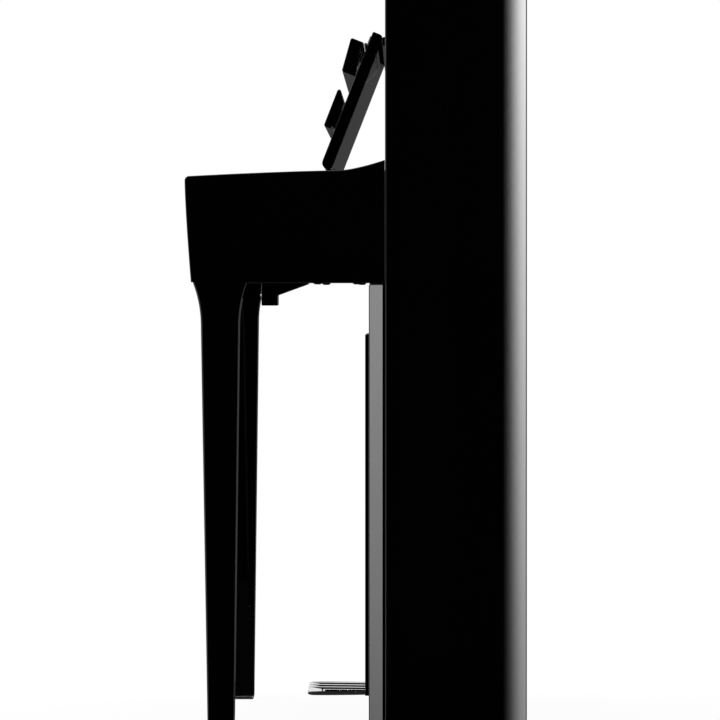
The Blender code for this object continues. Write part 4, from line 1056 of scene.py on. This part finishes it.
def dress_controls(sizes):
    """Plate with its buttons and display, and the slider with its scale."""
    eased("control_panel", "control_plate", "plastic", PLATE_EDGE, angle=50.0)
    eased("display_window", "display_glass", "window", GLASS_EDGE, angle=50.0)
    ways = {"steps": 3, "angle": 30.0}
    eased("power_button", "power_button_plated", "chrome", PLATE_EDGE, **ways)
    eased("function_button", "function_button_moulded", "plastic", PLATE_EDGE, **ways)
    low, high = box_of("volume_slider")
    middle, size = (low + high) / 2, high - low
    plate = box_of("control_panel")[1].z
    deck = plate + SLOT_GAP
    taper, stem = size.x * 0.1, size.y / 2
    outline = [(low.x, deck), (high.x, deck), (high.x - taper, high.z), (low.x + taper, high.z)]
    cap = bmesh.new()
    prism(cap, outline, low.y, high.y, along)
    cuboid(cap, (middle.x - stem, low.y, low.z), (middle.x + stem, high.y, deck + STEM_LAP))
    ease_edges(cap, PIN_EDGE)
    place_piece("volume_slider_cap", cap, "chrome", body_of("volume_slider"), ("volume_slider",))
    marks = bmesh.new()
    for i, y in enumerate(spaced(middle.y - MARK_TRAVEL, middle.y + MARK_TRAVEL, 10)):
        reach = SHORT_MARK if i % 5 else LONG_MARK
        rear, front = y - MARK_THICK / 2, y + MARK_THICK / 2
        for side in (-1, 1):
            near = middle.x + side * (size.x / 2 + MARK_AWAY)
            x0, x1 = sorted((near, near + side * reach))
            cuboid(marks, (x0, rear, plate - 0.0001), (x1, front, plate + 0.00008))
    place_piece("slider_scale", marks, "brass", "casing")


# Inlet and headphones

JACK_UP, JACK_SIDE = 0.017, 0.015
JACK_BORE, SLEEVE_BORE = 0.0034, 0.0030
JACK_RING = [
    (JACK_BORE, 0.0),
    (JACK_BORE, 0.0016),
    (0.0042, 0.0021),
    (0.0056, 0.0019),
    (0.0060, 0.0),
    (JACK_BORE, 0.0),
]
JACK_SLEEVE = [
    (JACK_BORE, -0.0138),
    (JACK_BORE, -0.002),
    (SLEEVE_BORE, -0.002),
    (SLEEVE_BORE, -0.0138),
    (JACK_BORE, -0.0138),
]
PIN_SPOTS = ((-0.007, -0.002), (0.0, 0.003), (0.007, -0.002))
PIN_WIDE, PIN_HIGH = 0.002, 0.001
PIN_START, PIN_END = 0.0022, 0.0095


def dress_sockets(sizes):
    """Headphone housing with its jack rings, and the mains inlet with its pins."""
    eased("headphone_box", "headphone_housing", "polished_black", PLATE_EDGE)
    packing("headphone_packing", "headphone_box", 2 * PACKING_IN)
    low, high = box_of("headphone_box")
    rings, sleeves = bmesh.new(), bmesh.new()
    for side in (-1, 1):
        center = ((low.x + high.x) / 2 + side * JACK_SIDE, low.y, low.z + JACK_UP)
        turned(rings, JACK_RING, center, (0, -1, 0), 24)
        turned(sleeves, JACK_SLEEVE, center, (0, -1, 0), 20)
    place_piece("jack_rings", rings, "chrome", "casing")
    place_piece("jack_sleeves", sleeves, "brass", "casing")
    eased("inlet_panel", "inlet_plate", "plastic", PLANK_EDGE)
    low, high = box_of("inlet_panel")
    start, end = low.y + PIN_START, low.y + PIN_END
    pins = bmesh.new()
    for aside, up in PIN_SPOTS:
        x, z = (low.x + high.x) / 2 + aside, (low.z + high.z) / 2 + up
        cuboid(pins, (x - PIN_WIDE, start, z - PIN_HIGH), (x + PIN_WIDE, end, z + PIN_HIGH))
    ease_edges(pins, PIN_EDGE)
    place_piece("inlet_pins", pins, "brass", "casing")


# Woofers

CAP_RADIUS, CAP_RISE = 0.022, 0.010
CONE_DEEP, CONE_RISE = -0.026, 0.0215
ROLL_RADIUS, ROLL_RISE, ROLL_FOOT = 0.006, 0.0035, -0.0045


def cone_profile(hole):
    """From the middle out: dust cap, cone and roll, then the flat back of the paper."""
    foot = hole - 2 * ROLL_RADIUS
    profile = []
    for turn in map(radians, (0, 18, 36, 54, 72)):
        profile.append((CAP_RADIUS * sin(turn), CONE_DEEP + CAP_RISE * cos(turn)))
    for share in spaced(0, 1, 12)[:-1]:
        radius = CAP_RADIUS + (foot - CAP_RADIUS) * share
        profile.append((radius, CONE_DEEP + CONE_RISE * share**0.8))
    for turn in map(radians, spaced(0, 180, 10)):
        profile.append((foot + ROLL_RADIUS * (1 - cos(turn)), ROLL_FOOT + ROLL_RISE * sin(turn)))
    return [*profile, (hole, -0.0062), (0.02, -0.029), (0, -0.029)]


def dress_woofers(sizes):
    """Each woofer: basket, magnet, and a cone with its roll and dust cap."""
    for end in ("treble", "bass"):
        node = f"woofer_{end}"
        low, high = box_of(node)
        center = ((low.x + high.x) / 2, high.y, (low.z + high.z) / 2)
        radius, depth = (high.x - low.x) / 2, high.y - low.y
        hole, rim, waist = radius * 0.90, radius * 0.47, -depth * 0.70
        basket = [
            (hole, -0.0005),
            (radius * 0.92, 0),
            (radius, 0),
            (radius, -0.0030),
            (radius - 0.004, -0.0040),
            (radius * 0.86, -0.0070),
            (radius * 0.58, -depth * 0.66),
            (radius * 0.50, waist),
            (0, waist),
        ]
        magnet = [
            (0, -depth),
            (rim * 0.9, -depth),
            (rim, 0.002 - depth),
            (rim, -depth * 0.72),
            (rim * 0.95, waist),
            (0, waist),
        ]
        jobs = (
            ("basket", basket, "plastic", (node,)),
            ("magnet", magnet, "steel", ()),
            ("cone", cone_profile(hole), "cone_paper", ()),
        )
        for part, profile, look, nodes in jobs:
            bm = bmesh.new()
            turned(bm, profile, center, (0, 1, 0), 64)
            place_piece(f"{node}_{part}", bm, look, "casing", nodes)


# Boards: each chip has its place in shares of the board, its width, height and thickness

CHIPS = (
    (0.16, 0.30, 0.030, 0.030, 0.0022),
    (0.40, 0.62, 0.018, 0.018, 0.0018),
    (0.40, 0.25, 0.022, 0.012, 0.0016),
    (0.62, 0.30, 0.014, 0.022, 0.0020),
    (0.63, 0.70, 0.012, 0.012, 0.0015),
    (0.26, 0.74, 0.016, 0.010, 0.0015),
)
CHIP_LEG_REACH, CHIP_LEG_HALF, CHIP_LEG_IN = 0.0014, 0.0004, 0.002
CAN = [(0, -0.0003), (0.0050, -0.0003), (0.0050, 0.0105), (0.0046, 0.0112), (0, 0.0112)]
CAN_IN, CAN_UP = (0.185, 0.013), (0.035, 0.018)
KEY_COUNT = 88
DOME = [
    (0, -0.0002),
    (0.0042, -0.0002),
    (0.0042, 0.0006),
    (0.0024, 0.0040),
    (0.0020, 0.0046),
    (0, 0.0048),
]


def dress_circuits(sizes):
    """Main board with its parts, and the key sensors' board under the keys."""
    eased("main_board", "main_board_etched", "board_green", GLASS_EDGE, angle=50.0)
    low, high = box_of("main_board")
    face = low.y
    chips, legs, cans = bmesh.new(), bmesh.new(), bmesh.new()
    for u, v, width, height, thick in CHIPS:
        x, z = low.x + (high.x - low.x) * u, low.z + (high.z - low.z) * v
        side, end = width / 2, height / 2
        reach = side + CHIP_LEG_REACH
        cuboid(chips, (x - side, face - thick, z - end), (x + side, face, z + end))
        for up in spaced(CHIP_LEG_IN - end, end - CHIP_LEG_IN, 7):
            foot, top = z + up - CHIP_LEG_HALF, z + up + CHIP_LEG_HALF
            for x0, x1 in ((x - reach, x - side), (x + side, x + reach)):
                cuboid(legs, (x0, face - thick * 0.5, foot), (x1, face, top))
    ease_edges(chips, PIN_EDGE, 1)
    place_piece("main_board_chips", chips, "chip", "casing")
    place_piece("main_board_chip_legs", legs, "brass", "casing")
    for i in range(6):
        x = low.x + CAN_IN[0] + CAN_IN[1] * (i % 3)
        z = low.z + CAN_UP[0] + CAN_UP[1] * (i // 3)
        turned(cans, CAN, (x, face, z), (0, -1, 0), 20)
    place_piece("main_board_cans", cans, "steel", "casing")
    eased("key_sensor_board", "key_sensor_board_etched", "board_green", GLASS_EDGE, angle=50.0)
    low, high = box_of("key_sensor_board")
    domes = bmesh.new()
    for i in range(KEY_COUNT):
        x = low.x + (high.x - low.x) * (i + 0.5) / KEY_COUNT
        turned(domes, DOME, (x, (low.y + high.y) / 2, high.z), (0, 0, 1), 12)
    place_piece("key_sensor_domes", domes, "rubber", "casing")


# Action

NOSE_BACK, NOSE_DOWN = 0.014, 0.03


def dress_action(sizes):
    """Key frame, brackets, and the hammers with felt noses."""
    eased("key_frame", "key_frame_planed", "wood", PLANK_EDGE, angle=50.0)
    eased("action_frame", "action_frame_plated", "steel", PLATE_EDGE, angle=40.0)
    low, high = box_of("hammers")

    def nose(middle, normal):
        return 1 if middle.y > low.y + NOSE_BACK and middle.z > high.z - NOSE_DOWN else 0

    ways = {"steps": 1, "angle": 40.0, "paint": nose}
    eased("hammers", "hammers_felted", ("wood", "felt"), PLANK_EDGE, **ways)


# Pedals

PEDAL_WIDE, PEDAL_THICK, PEDAL_DROP = 0.0258, 0.0122, 0.0004
PEDAL_TIP_IN, PEDAL_ROOT_IN = 0.0006, 0.004
PEDAL_SIDES = 28
BOSS_BORE, BOSS_RADIUS, BOSS_HALF = 0.0045, 0.0068, PEDAL_WIDE * 0.38

# From tip to root: share of the length, shares of the width and thickness, crown in metres
PEDAL_STATIONS = (
    (0.0, 0.28, 0.55, 0.0),
    (0.005, 0.40, 0.76, 0.0001),
    (0.018, 0.53, 0.91, 0.0003),
    (0.045, 0.69, 0.98, 0.0004),
    (0.080, 0.83, 1.0, 0.0005),
    (0.120, 0.93, 1.0, 0.0006),
    (0.170, 0.99, 1.0, 0.0006),
    (0.26, 1.0, 0.99, 0.0005),
    (0.45, 0.995, 0.94, 0.0004),
    (0.60, 0.99, 0.88, 0.0003),
    (0.75, 0.985, 0.81, 0.0001),
    (1.0, 0.98, 0.74, 0.0),
)


def pedal_ring(x, y, z, width, height, crown):
    """Section of a pedal: nearly flat under, crowned above, with round sides."""
    ring = []
    for i in range(PEDAL_SIDES):
        turn = 2 * pi * i / PEDAL_SIDES
        c, d = cos(turn), sin(turn)
        side = abs(c) ** 0.55 * (1 if c > 0 else -1)
        rise = abs(d) ** 0.6 * (1 if d > 0 else -1)
        lift = crown * (1 - side * side) if d > 0 else 0.0
        ring.append((x + side * width / 2, y, z + rise * height / 2 + lift))
    return ring


def dress_pedals(sizes):
    """Plated levers, broad behind a blunt tip, with a boss on the axle."""
    for node in ("pedal_left", "pedal_middle", "pedal_right"):
        x, y, z = JOINTS[node + "_press"]["pos_m"]
        tip, root = box_of(node)[0].y + PEDAL_TIP_IN, y - PEDAL_ROOT_IN
        rings = []
        for share, wide, thick, crown in PEDAL_STATIONS:
            size = (PEDAL_WIDE * wide, PEDAL_THICK * thick)
            rings.append(pedal_ring(x, tip + (root - tip) * share, z - PEDAL_DROP, *size, crown))
        lever = bmesh.new()
        loft(lever, rings)
        boss = [(BOSS_BORE, -BOSS_HALF), (BOSS_RADIUS, -BOSS_HALF), (BOSS_RADIUS, BOSS_HALF)]
        boss += [(BOSS_BORE, BOSS_HALF), (BOSS_BORE, -BOSS_HALF)]
        turned(lever, boss, (x, y, z), (1, 0, 0), 32)
        place_piece(f"{node}_plated", lever, "chrome", body_of(node), (node,), radians(45))
    eased("pedal_bracket", "pedal_bracket_plated", "steel", CAST_EDGE, angle=40.0)


# Stage: the photo's camera, a white floor and world, and cards that only reflections see

EYE = Vector((11.70, 0.0686, 0.627))
AIM = Vector((0.7505, 0.00577, 0.532))
LENS, SENSOR = 405.0, 36.0
NEAR_FACE = 0.7505
VIEW_END = 200.0
WHITE = (1, 1, 1, 1)
FLOOR_HALF = 60.0
PAPER_NEAR, PAPER_FAR, PAPER_DIM = 1.2, 5.0, 0.93
LAMP_AIM, LAMP_SIZE = Vector((0, 0, 0.5)), (3.0, 2.0)
CARD_NEAR, CARD_FAR, CARD_UP = 1.2, 12.4, 0.002
FLAG_START, FLAG_TOP = -0.6, 2.4
BASS_TONE, BASS_HALF, BASS_FLOOR = 0.05, 2, (-0.4, 0.3)
STRIP_START, STRIP_END, STRIP_TOP = 0.1996, 0.262, 1.5
STRIP_FADE = 0.0284
STRIP_TONES = ((0.0, 0.0), (0.15, 0.035), (0.34, 0.15), (0.57, 0.455), (0.81, 0.83), (1.0, 1.0))
STRIP_LOW, STRIP_MID, STRIP_HIGH = 5.9, 7.5, 7.0
SHADE_REAR, SHADE_INNER, SHADE_OUTER = 0.2, -0.24, -0.85
SHADE_DARK, SHADE_LIGHT = 0.02, 0.9


def mirror_share(f):
    """Where the treble end shows a point of a card: (y, z) on the end's own plane."""
    spread = (f.axis("X") + (EYE.x - 2 * NEAR_FACE)) / (EYE.x - NEAR_FACE)
    return (f.axis("Y") - EYE.y) / spread + EYE.y, (f.axis("Z") - EYE.z) / spread + EYE.z


def seen_at(y, z, x):
    """The point at a depth that the treble end's plane shows at (y, z), kept off the floor."""
    spread = (x + EYE.x - 2 * NEAR_FACE) / (EYE.x - NEAR_FACE)
    return (x, EYE.y + (y - EYE.y) * spread, max(EYE.z + (z - EYE.z) * spread, CARD_UP))


def strip_glow(f):
    """A strip softbox: dark to bright over three centimetres, and dimmer towards the floor."""
    y, z = mirror_share(f)
    stops = [(place, (tone,) * 3) for place, tone in STRIP_TONES]
    tone = f.ramp((y - STRIP_START) / STRIP_FADE, stops)
    bright = f.node("ShaderNodeSeparateXYZ", links={0: tone})["X"]
    return bright * (STRIP_LOW + z * STRIP_MID + z * z * STRIP_HIGH)


def shade_glow(f):
    """Painted shade of the piano on the floor: black underneath, fading out in front."""
    links = {"Value": f.axis("Y"), 1: SHADE_INNER, 2: SHADE_OUTER, 3: SHADE_DARK, 4: SHADE_LIGHT}
    return f.node("ShaderNodeMapRange", {"interpolation_type": "SMOOTHSTEP"}, links)[0]


def sheet_of(name, corners, material):
    bm = bmesh.new()
    bm.faces.new([bm.verts.new(corner) for corner in corners])
    made = put(name, bm, [material])
    return made


def card(name, corners, glow):
    """A flat studio card that only reflections see; its glow is a tone or a function."""
    material, f = finish_of(name)
    f.output(f.glow(f.gray(glow(f)) if callable(glow) else (glow, glow, glow, 1)))
    made = sheet_of(name, corners, material)
    made.visible_camera = False
    made.visible_diffuse = False
    made.visible_shadow = False
    made.visible_volume_scatter = False


def floor_card(name, x0, x1, y0, y1, glow):
    corners = ((x0, y0), (x1, y0), (x1, y1), (x0, y1))
    card(name, [(x, y, CARD_UP) for x, y in corners], glow)


def treble_card(name, start, end, near, top, glow):
    """A card that the treble end shows from start to end, flat on the floor or upright."""
    low = [seen_at(y, 0, near) for y in (start, end)]
    card(name, [*low, *(seen_at(y, top, CARD_FAR) for y in (end, start))], glow)


def set_cards():
    """Dark flags in front of both ends, painted shade under the piano, and the strip softbox
    beyond the treble end's rear.
    """
    treble_card("flag_treble", FLAG_START, STRIP_START, CARD_FAR, FLAG_TOP, 0.0)
    treble_card("flag_floor", FLAG_START, STRIP_START, CARD_NEAR, 0, 0.0)
    # Painted shade: a dark card on the floor under the piano, seen only in reflections
    floor_card("painted_shade_under", -CARD_NEAR, CARD_NEAR, SHADE_OUTER, SHADE_REAR, shade_glow)
    treble_card("strip_treble", STRIP_START, STRIP_END, CARD_FAR, STRIP_TOP, strip_glow)
    treble_card("strip_floor", STRIP_START, STRIP_END, CARD_NEAR, 0, strip_glow)
    h, low, high = BASS_HALF, CARD_UP, FLAG_TOP
    corners = ((-h, low), (h, low), (h, high), (-h, high))
    card("flag_bass", [(-CARD_FAR, y, z) for y, z in corners], BASS_TONE)
    floor_card("flag_bass_floor", -CARD_FAR, -CARD_NEAR, *BASS_FLOOR, BASS_TONE)


def stage_floor():
    """White paper: it takes the piano's soft shadow, and fades to pure white further out."""
    material, f = finish_of("studio_floor")
    paper = f.node("ShaderNodeBsdfDiffuse", links={"Color": (0.96, 0.96, 0.96, 1)})["BSDF"]
    seen = f.node("ShaderNodeLightPath")
    direct = seen["Is Camera Ray"] + seen["Is Glossy Ray"] + seen["Is Transmission Ray"]
    far = f.node("ShaderNodeVectorMath", {"operation": "LENGTH"}, {0: f.place()})["Value"]
    links = {"Value": far, 1: PAPER_NEAR, 2: PAPER_FAR, 3: PAPER_DIM, 4: 1.0}
    whiter = f.node("ShaderNodeMapRange", links=links)[0]
    links = {0: direct * whiter, 1: paper, 2: f.glow(WHITE)}
    f.output(f.node("ShaderNodeMixShader", links=links)[0])
    h = FLOOR_HALF
    sheet_of("studio_floor", ((-h, -h, 0), (h, -h, 0), (h, h, 0), (-h, h, 0)), material)


def soft_lamp(name, place, power):
    lamp = bpy.data.lights.new(name, "AREA")
    lamp.shape = "RECTANGLE"
    lamp.size, lamp.size_y = LAMP_SIZE
    lamp.energy = power
    obj = bpy.data.objects.new(name, lamp)
    obj.visible_glossy = False
    stand(obj, Vector(place), LAMP_AIM)


def stand(obj, place, aim):
    obj.location = place
    obj.rotation_euler = (aim - place).to_track_quat("-Z", "Y").to_euler()
    bpy.context.scene.collection.objects.link(obj)


def build_stage():
    scene = bpy.context.scene
    scene.view_settings.view_transform = "Standard"
    stage_floor()
    scene.world = bpy.data.worlds.new("studio")
    scene.world.use_nodes = True
    f = Finish(scene.world.node_tree)
    sky = f.node("ShaderNodeBackground", links={"Color": WHITE, "Strength": 1.0})[0]
    f.node("ShaderNodeOutputWorld", links={"Surface": sky})
    soft_lamp("key_softbox", (2.5, -3.5, 4.0), 90.0)
    soft_lamp("fill_softbox", (-3.5, 2.5, 3.5), 45.0)
    set_cards()
    camera = bpy.data.cameras.new("photo_camera")
    camera.lens = LENS
    camera.sensor_width = SENSOR
    camera.clip_end = VIEW_END
    scene.camera = bpy.data.objects.new("photo_camera", camera)
    stand(scene.camera, EYE, AIM)


# Operators


class Step:
    """What the operators share."""

    bl_options = {"REGISTER", "UNDO"}


class PIANO_OT_side_panels(Step, bpy.types.Operator):
    """Lacquer the two full-height ends."""

    bl_idname = "piano.side_panels"
    bl_label = "Side Panels"

    def execute(self, context):
        dress_side_panels(context.scene.piano_sizes)
        return {"FINISHED"}


class PIANO_OT_boards(Step, bpy.types.Operator):
    """Finish the top, upper, lower and bottom boards and the pedal panel."""

    bl_idname = "piano.boards"
    bl_label = "Boards"

    def execute(self, context):
        dress_boards(context.scene.piano_sizes)
        return {"FINISHED"}


class PIANO_OT_back(Step, bpy.types.Operator):
    """Finish the back panel and its screws."""

    bl_idname = "piano.back"
    bl_label = "Back"

    def execute(self, context):
        dress_back(context.scene.piano_sizes)
        return {"FINISHED"}


class PIANO_OT_arms(Step, bpy.types.Operator):
    """Make the two arms with their swept upper edges."""

    bl_idname = "piano.arms"
    bl_label = "Arms"

    def execute(self, context):
        dress_arms(context.scene.piano_sizes)
        return {"FINISHED"}


class PIANO_OT_legs(Step, bpy.types.Operator):
    """Make the two flared legs and their pads."""

    bl_idname = "piano.legs"
    bl_label = "Legs"

    def execute(self, context):
        dress_legs(context.scene.piano_sizes)
        return {"FINISHED"}


class PIANO_OT_keybed(Step, bpy.types.Operator):
    """Finish the keybed and the key slip."""

    bl_idname = "piano.keybed"
    bl_label = "Keybed"

    def execute(self, context):
        dress_keybed(context.scene.piano_sizes)
        return {"FINISHED"}


class PIANO_OT_key_blocks(Step, bpy.types.Operator):
    """Finish the key blocks, the lid rail and the strip above the keys."""

    bl_idname = "piano.key_blocks"
    bl_label = "Key Blocks"

    def execute(self, context):
        dress_blocks(context.scene.piano_sizes)
        return {"FINISHED"}


class PIANO_OT_naturals(Step, bpy.types.Operator):
    """Cover the natural keys."""

    bl_idname = "piano.naturals"
    bl_label = "Naturals"

    def execute(self, context):
        dress_naturals(context.scene.piano_sizes)
        return {"FINISHED"}


class PIANO_OT_sharps(Step, bpy.types.Operator):
    """Finish the sharp keys."""

    bl_idname = "piano.sharps"
    bl_label = "Sharps"

    def execute(self, context):
        dress_sharps(context.scene.piano_sizes)
        return {"FINISHED"}


class PIANO_OT_key_lid(Step, bpy.types.Operator):
    """Make the folding lid, its lip and the music ledge."""

    bl_idname = "piano.key_lid"
    bl_label = "Key Lid"

    def execute(self, context):
        dress_lid(context.scene.piano_sizes)
        return {"FINISHED"}


class PIANO_OT_hinges(Step, bpy.types.Operator):
    """Make the long hinges of the lid, lip and ledge."""

    bl_idname = "piano.hinges"
    bl_label = "Hinges"

    def execute(self, context):
        dress_hinges(context.scene.piano_sizes)
        return {"FINISHED"}


class PIANO_OT_stop_rail(Step, bpy.types.Operator):
    """Lacquer the rail that the open lid leans on."""

    bl_idname = "piano.stop_rail"
    bl_label = "Stop Rail"

    def execute(self, context):
        dress_stop_rail(context.scene.piano_sizes)
        return {"FINISHED"}


class PIANO_OT_controls(Step, bpy.types.Operator):
    """Finish the control plate, its buttons, display and slider."""

    bl_idname = "piano.controls"
    bl_label = "Controls"

    def execute(self, context):
        dress_controls(context.scene.piano_sizes)
        return {"FINISHED"}


class PIANO_OT_sockets(Step, bpy.types.Operator):
    """Finish the headphone housing and the mains inlet."""

    bl_idname = "piano.sockets"
    bl_label = "Sockets"

    def execute(self, context):
        dress_sockets(context.scene.piano_sizes)
        return {"FINISHED"}


class PIANO_OT_woofers(Step, bpy.types.Operator):
    """Make the baskets, magnets and cones of the woofers."""

    bl_idname = "piano.woofers"
    bl_label = "Woofers"

    def execute(self, context):
        dress_woofers(context.scene.piano_sizes)
        return {"FINISHED"}


class PIANO_OT_circuits(Step, bpy.types.Operator):
    """Populate the main board and the key sensors' board."""

    bl_idname = "piano.circuits"
    bl_label = "Circuits"

    def execute(self, context):
        dress_circuits(context.scene.piano_sizes)
        return {"FINISHED"}


class PIANO_OT_action(Step, bpy.types.Operator):
    """Finish the key frame, the brackets and the hammers."""

    bl_idname = "piano.action"
    bl_label = "Action"

    def execute(self, context):
        dress_action(context.scene.piano_sizes)
        return {"FINISHED"}


class PIANO_OT_pedals(Step, bpy.types.Operator):
    """Plate the pedals and their bracket."""

    bl_idname = "piano.pedals"
    bl_label = "Pedals"

    def execute(self, context):
        dress_pedals(context.scene.piano_sizes)
        return {"FINISHED"}


class PIANO_OT_stage(Step, bpy.types.Operator):
    """Set the floor, the lamps, the cards and the camera."""

    bl_idname = "piano.stage"
    bl_label = "Stage"

    def execute(self, context):
        build_stage()
        return {"FINISHED"}


STEPS = (
    PIANO_OT_side_panels,
    PIANO_OT_boards,
    PIANO_OT_back,
    PIANO_OT_arms,
    PIANO_OT_legs,
    PIANO_OT_keybed,
    PIANO_OT_key_blocks,
    PIANO_OT_naturals,
    PIANO_OT_sharps,
    PIANO_OT_key_lid,
    PIANO_OT_hinges,
    PIANO_OT_stop_rail,
    PIANO_OT_controls,
    PIANO_OT_sockets,
    PIANO_OT_woofers,
    PIANO_OT_circuits,
    PIANO_OT_action,
    PIANO_OT_pedals,
    PIANO_OT_stage,
)


class PIANO_PT_looks(bpy.types.Panel):
    """Sizes, colours and steps of the piano's looks."""

    bl_idname = "PIANO_PT_looks"
    bl_label = "Piano Looks"
    bl_space_type = "VIEW_3D"
    bl_region_type = "UI"
    bl_category = "Piano"

    def draw(self, context):
        for group in (context.scene.piano_sizes, context.scene.piano_finishes):
            column = self.layout.column(align=True)
            for name in group.bl_rna.properties.keys():
                if name not in ("rna_type", "name"):
                    column.prop(group, name)
        column = self.layout.column(align=True)
        for step in STEPS:
            column.operator(step.bl_idname)


CLASSES = (PianoSizes, PianoFinishes, *STEPS, PIANO_PT_looks)


def register():
    for each in CLASSES:
        bpy.utils.register_class(each)
    bpy.types.Scene.piano_sizes = bpy.props.PointerProperty(type=PianoSizes)
    bpy.types.Scene.piano_finishes = bpy.props.PointerProperty(type=PianoFinishes)


def unregister():
    del bpy.types.Scene.piano_finishes
    del bpy.types.Scene.piano_sizes
    for each in reversed(CLASSES):
        bpy.utils.unregister_class(each)


def main():
    register()
    for step in STEPS:
        getattr(bpy.ops.piano, step.bl_idname.partition(".")[2])()


if __name__ == "__main__":
    main()
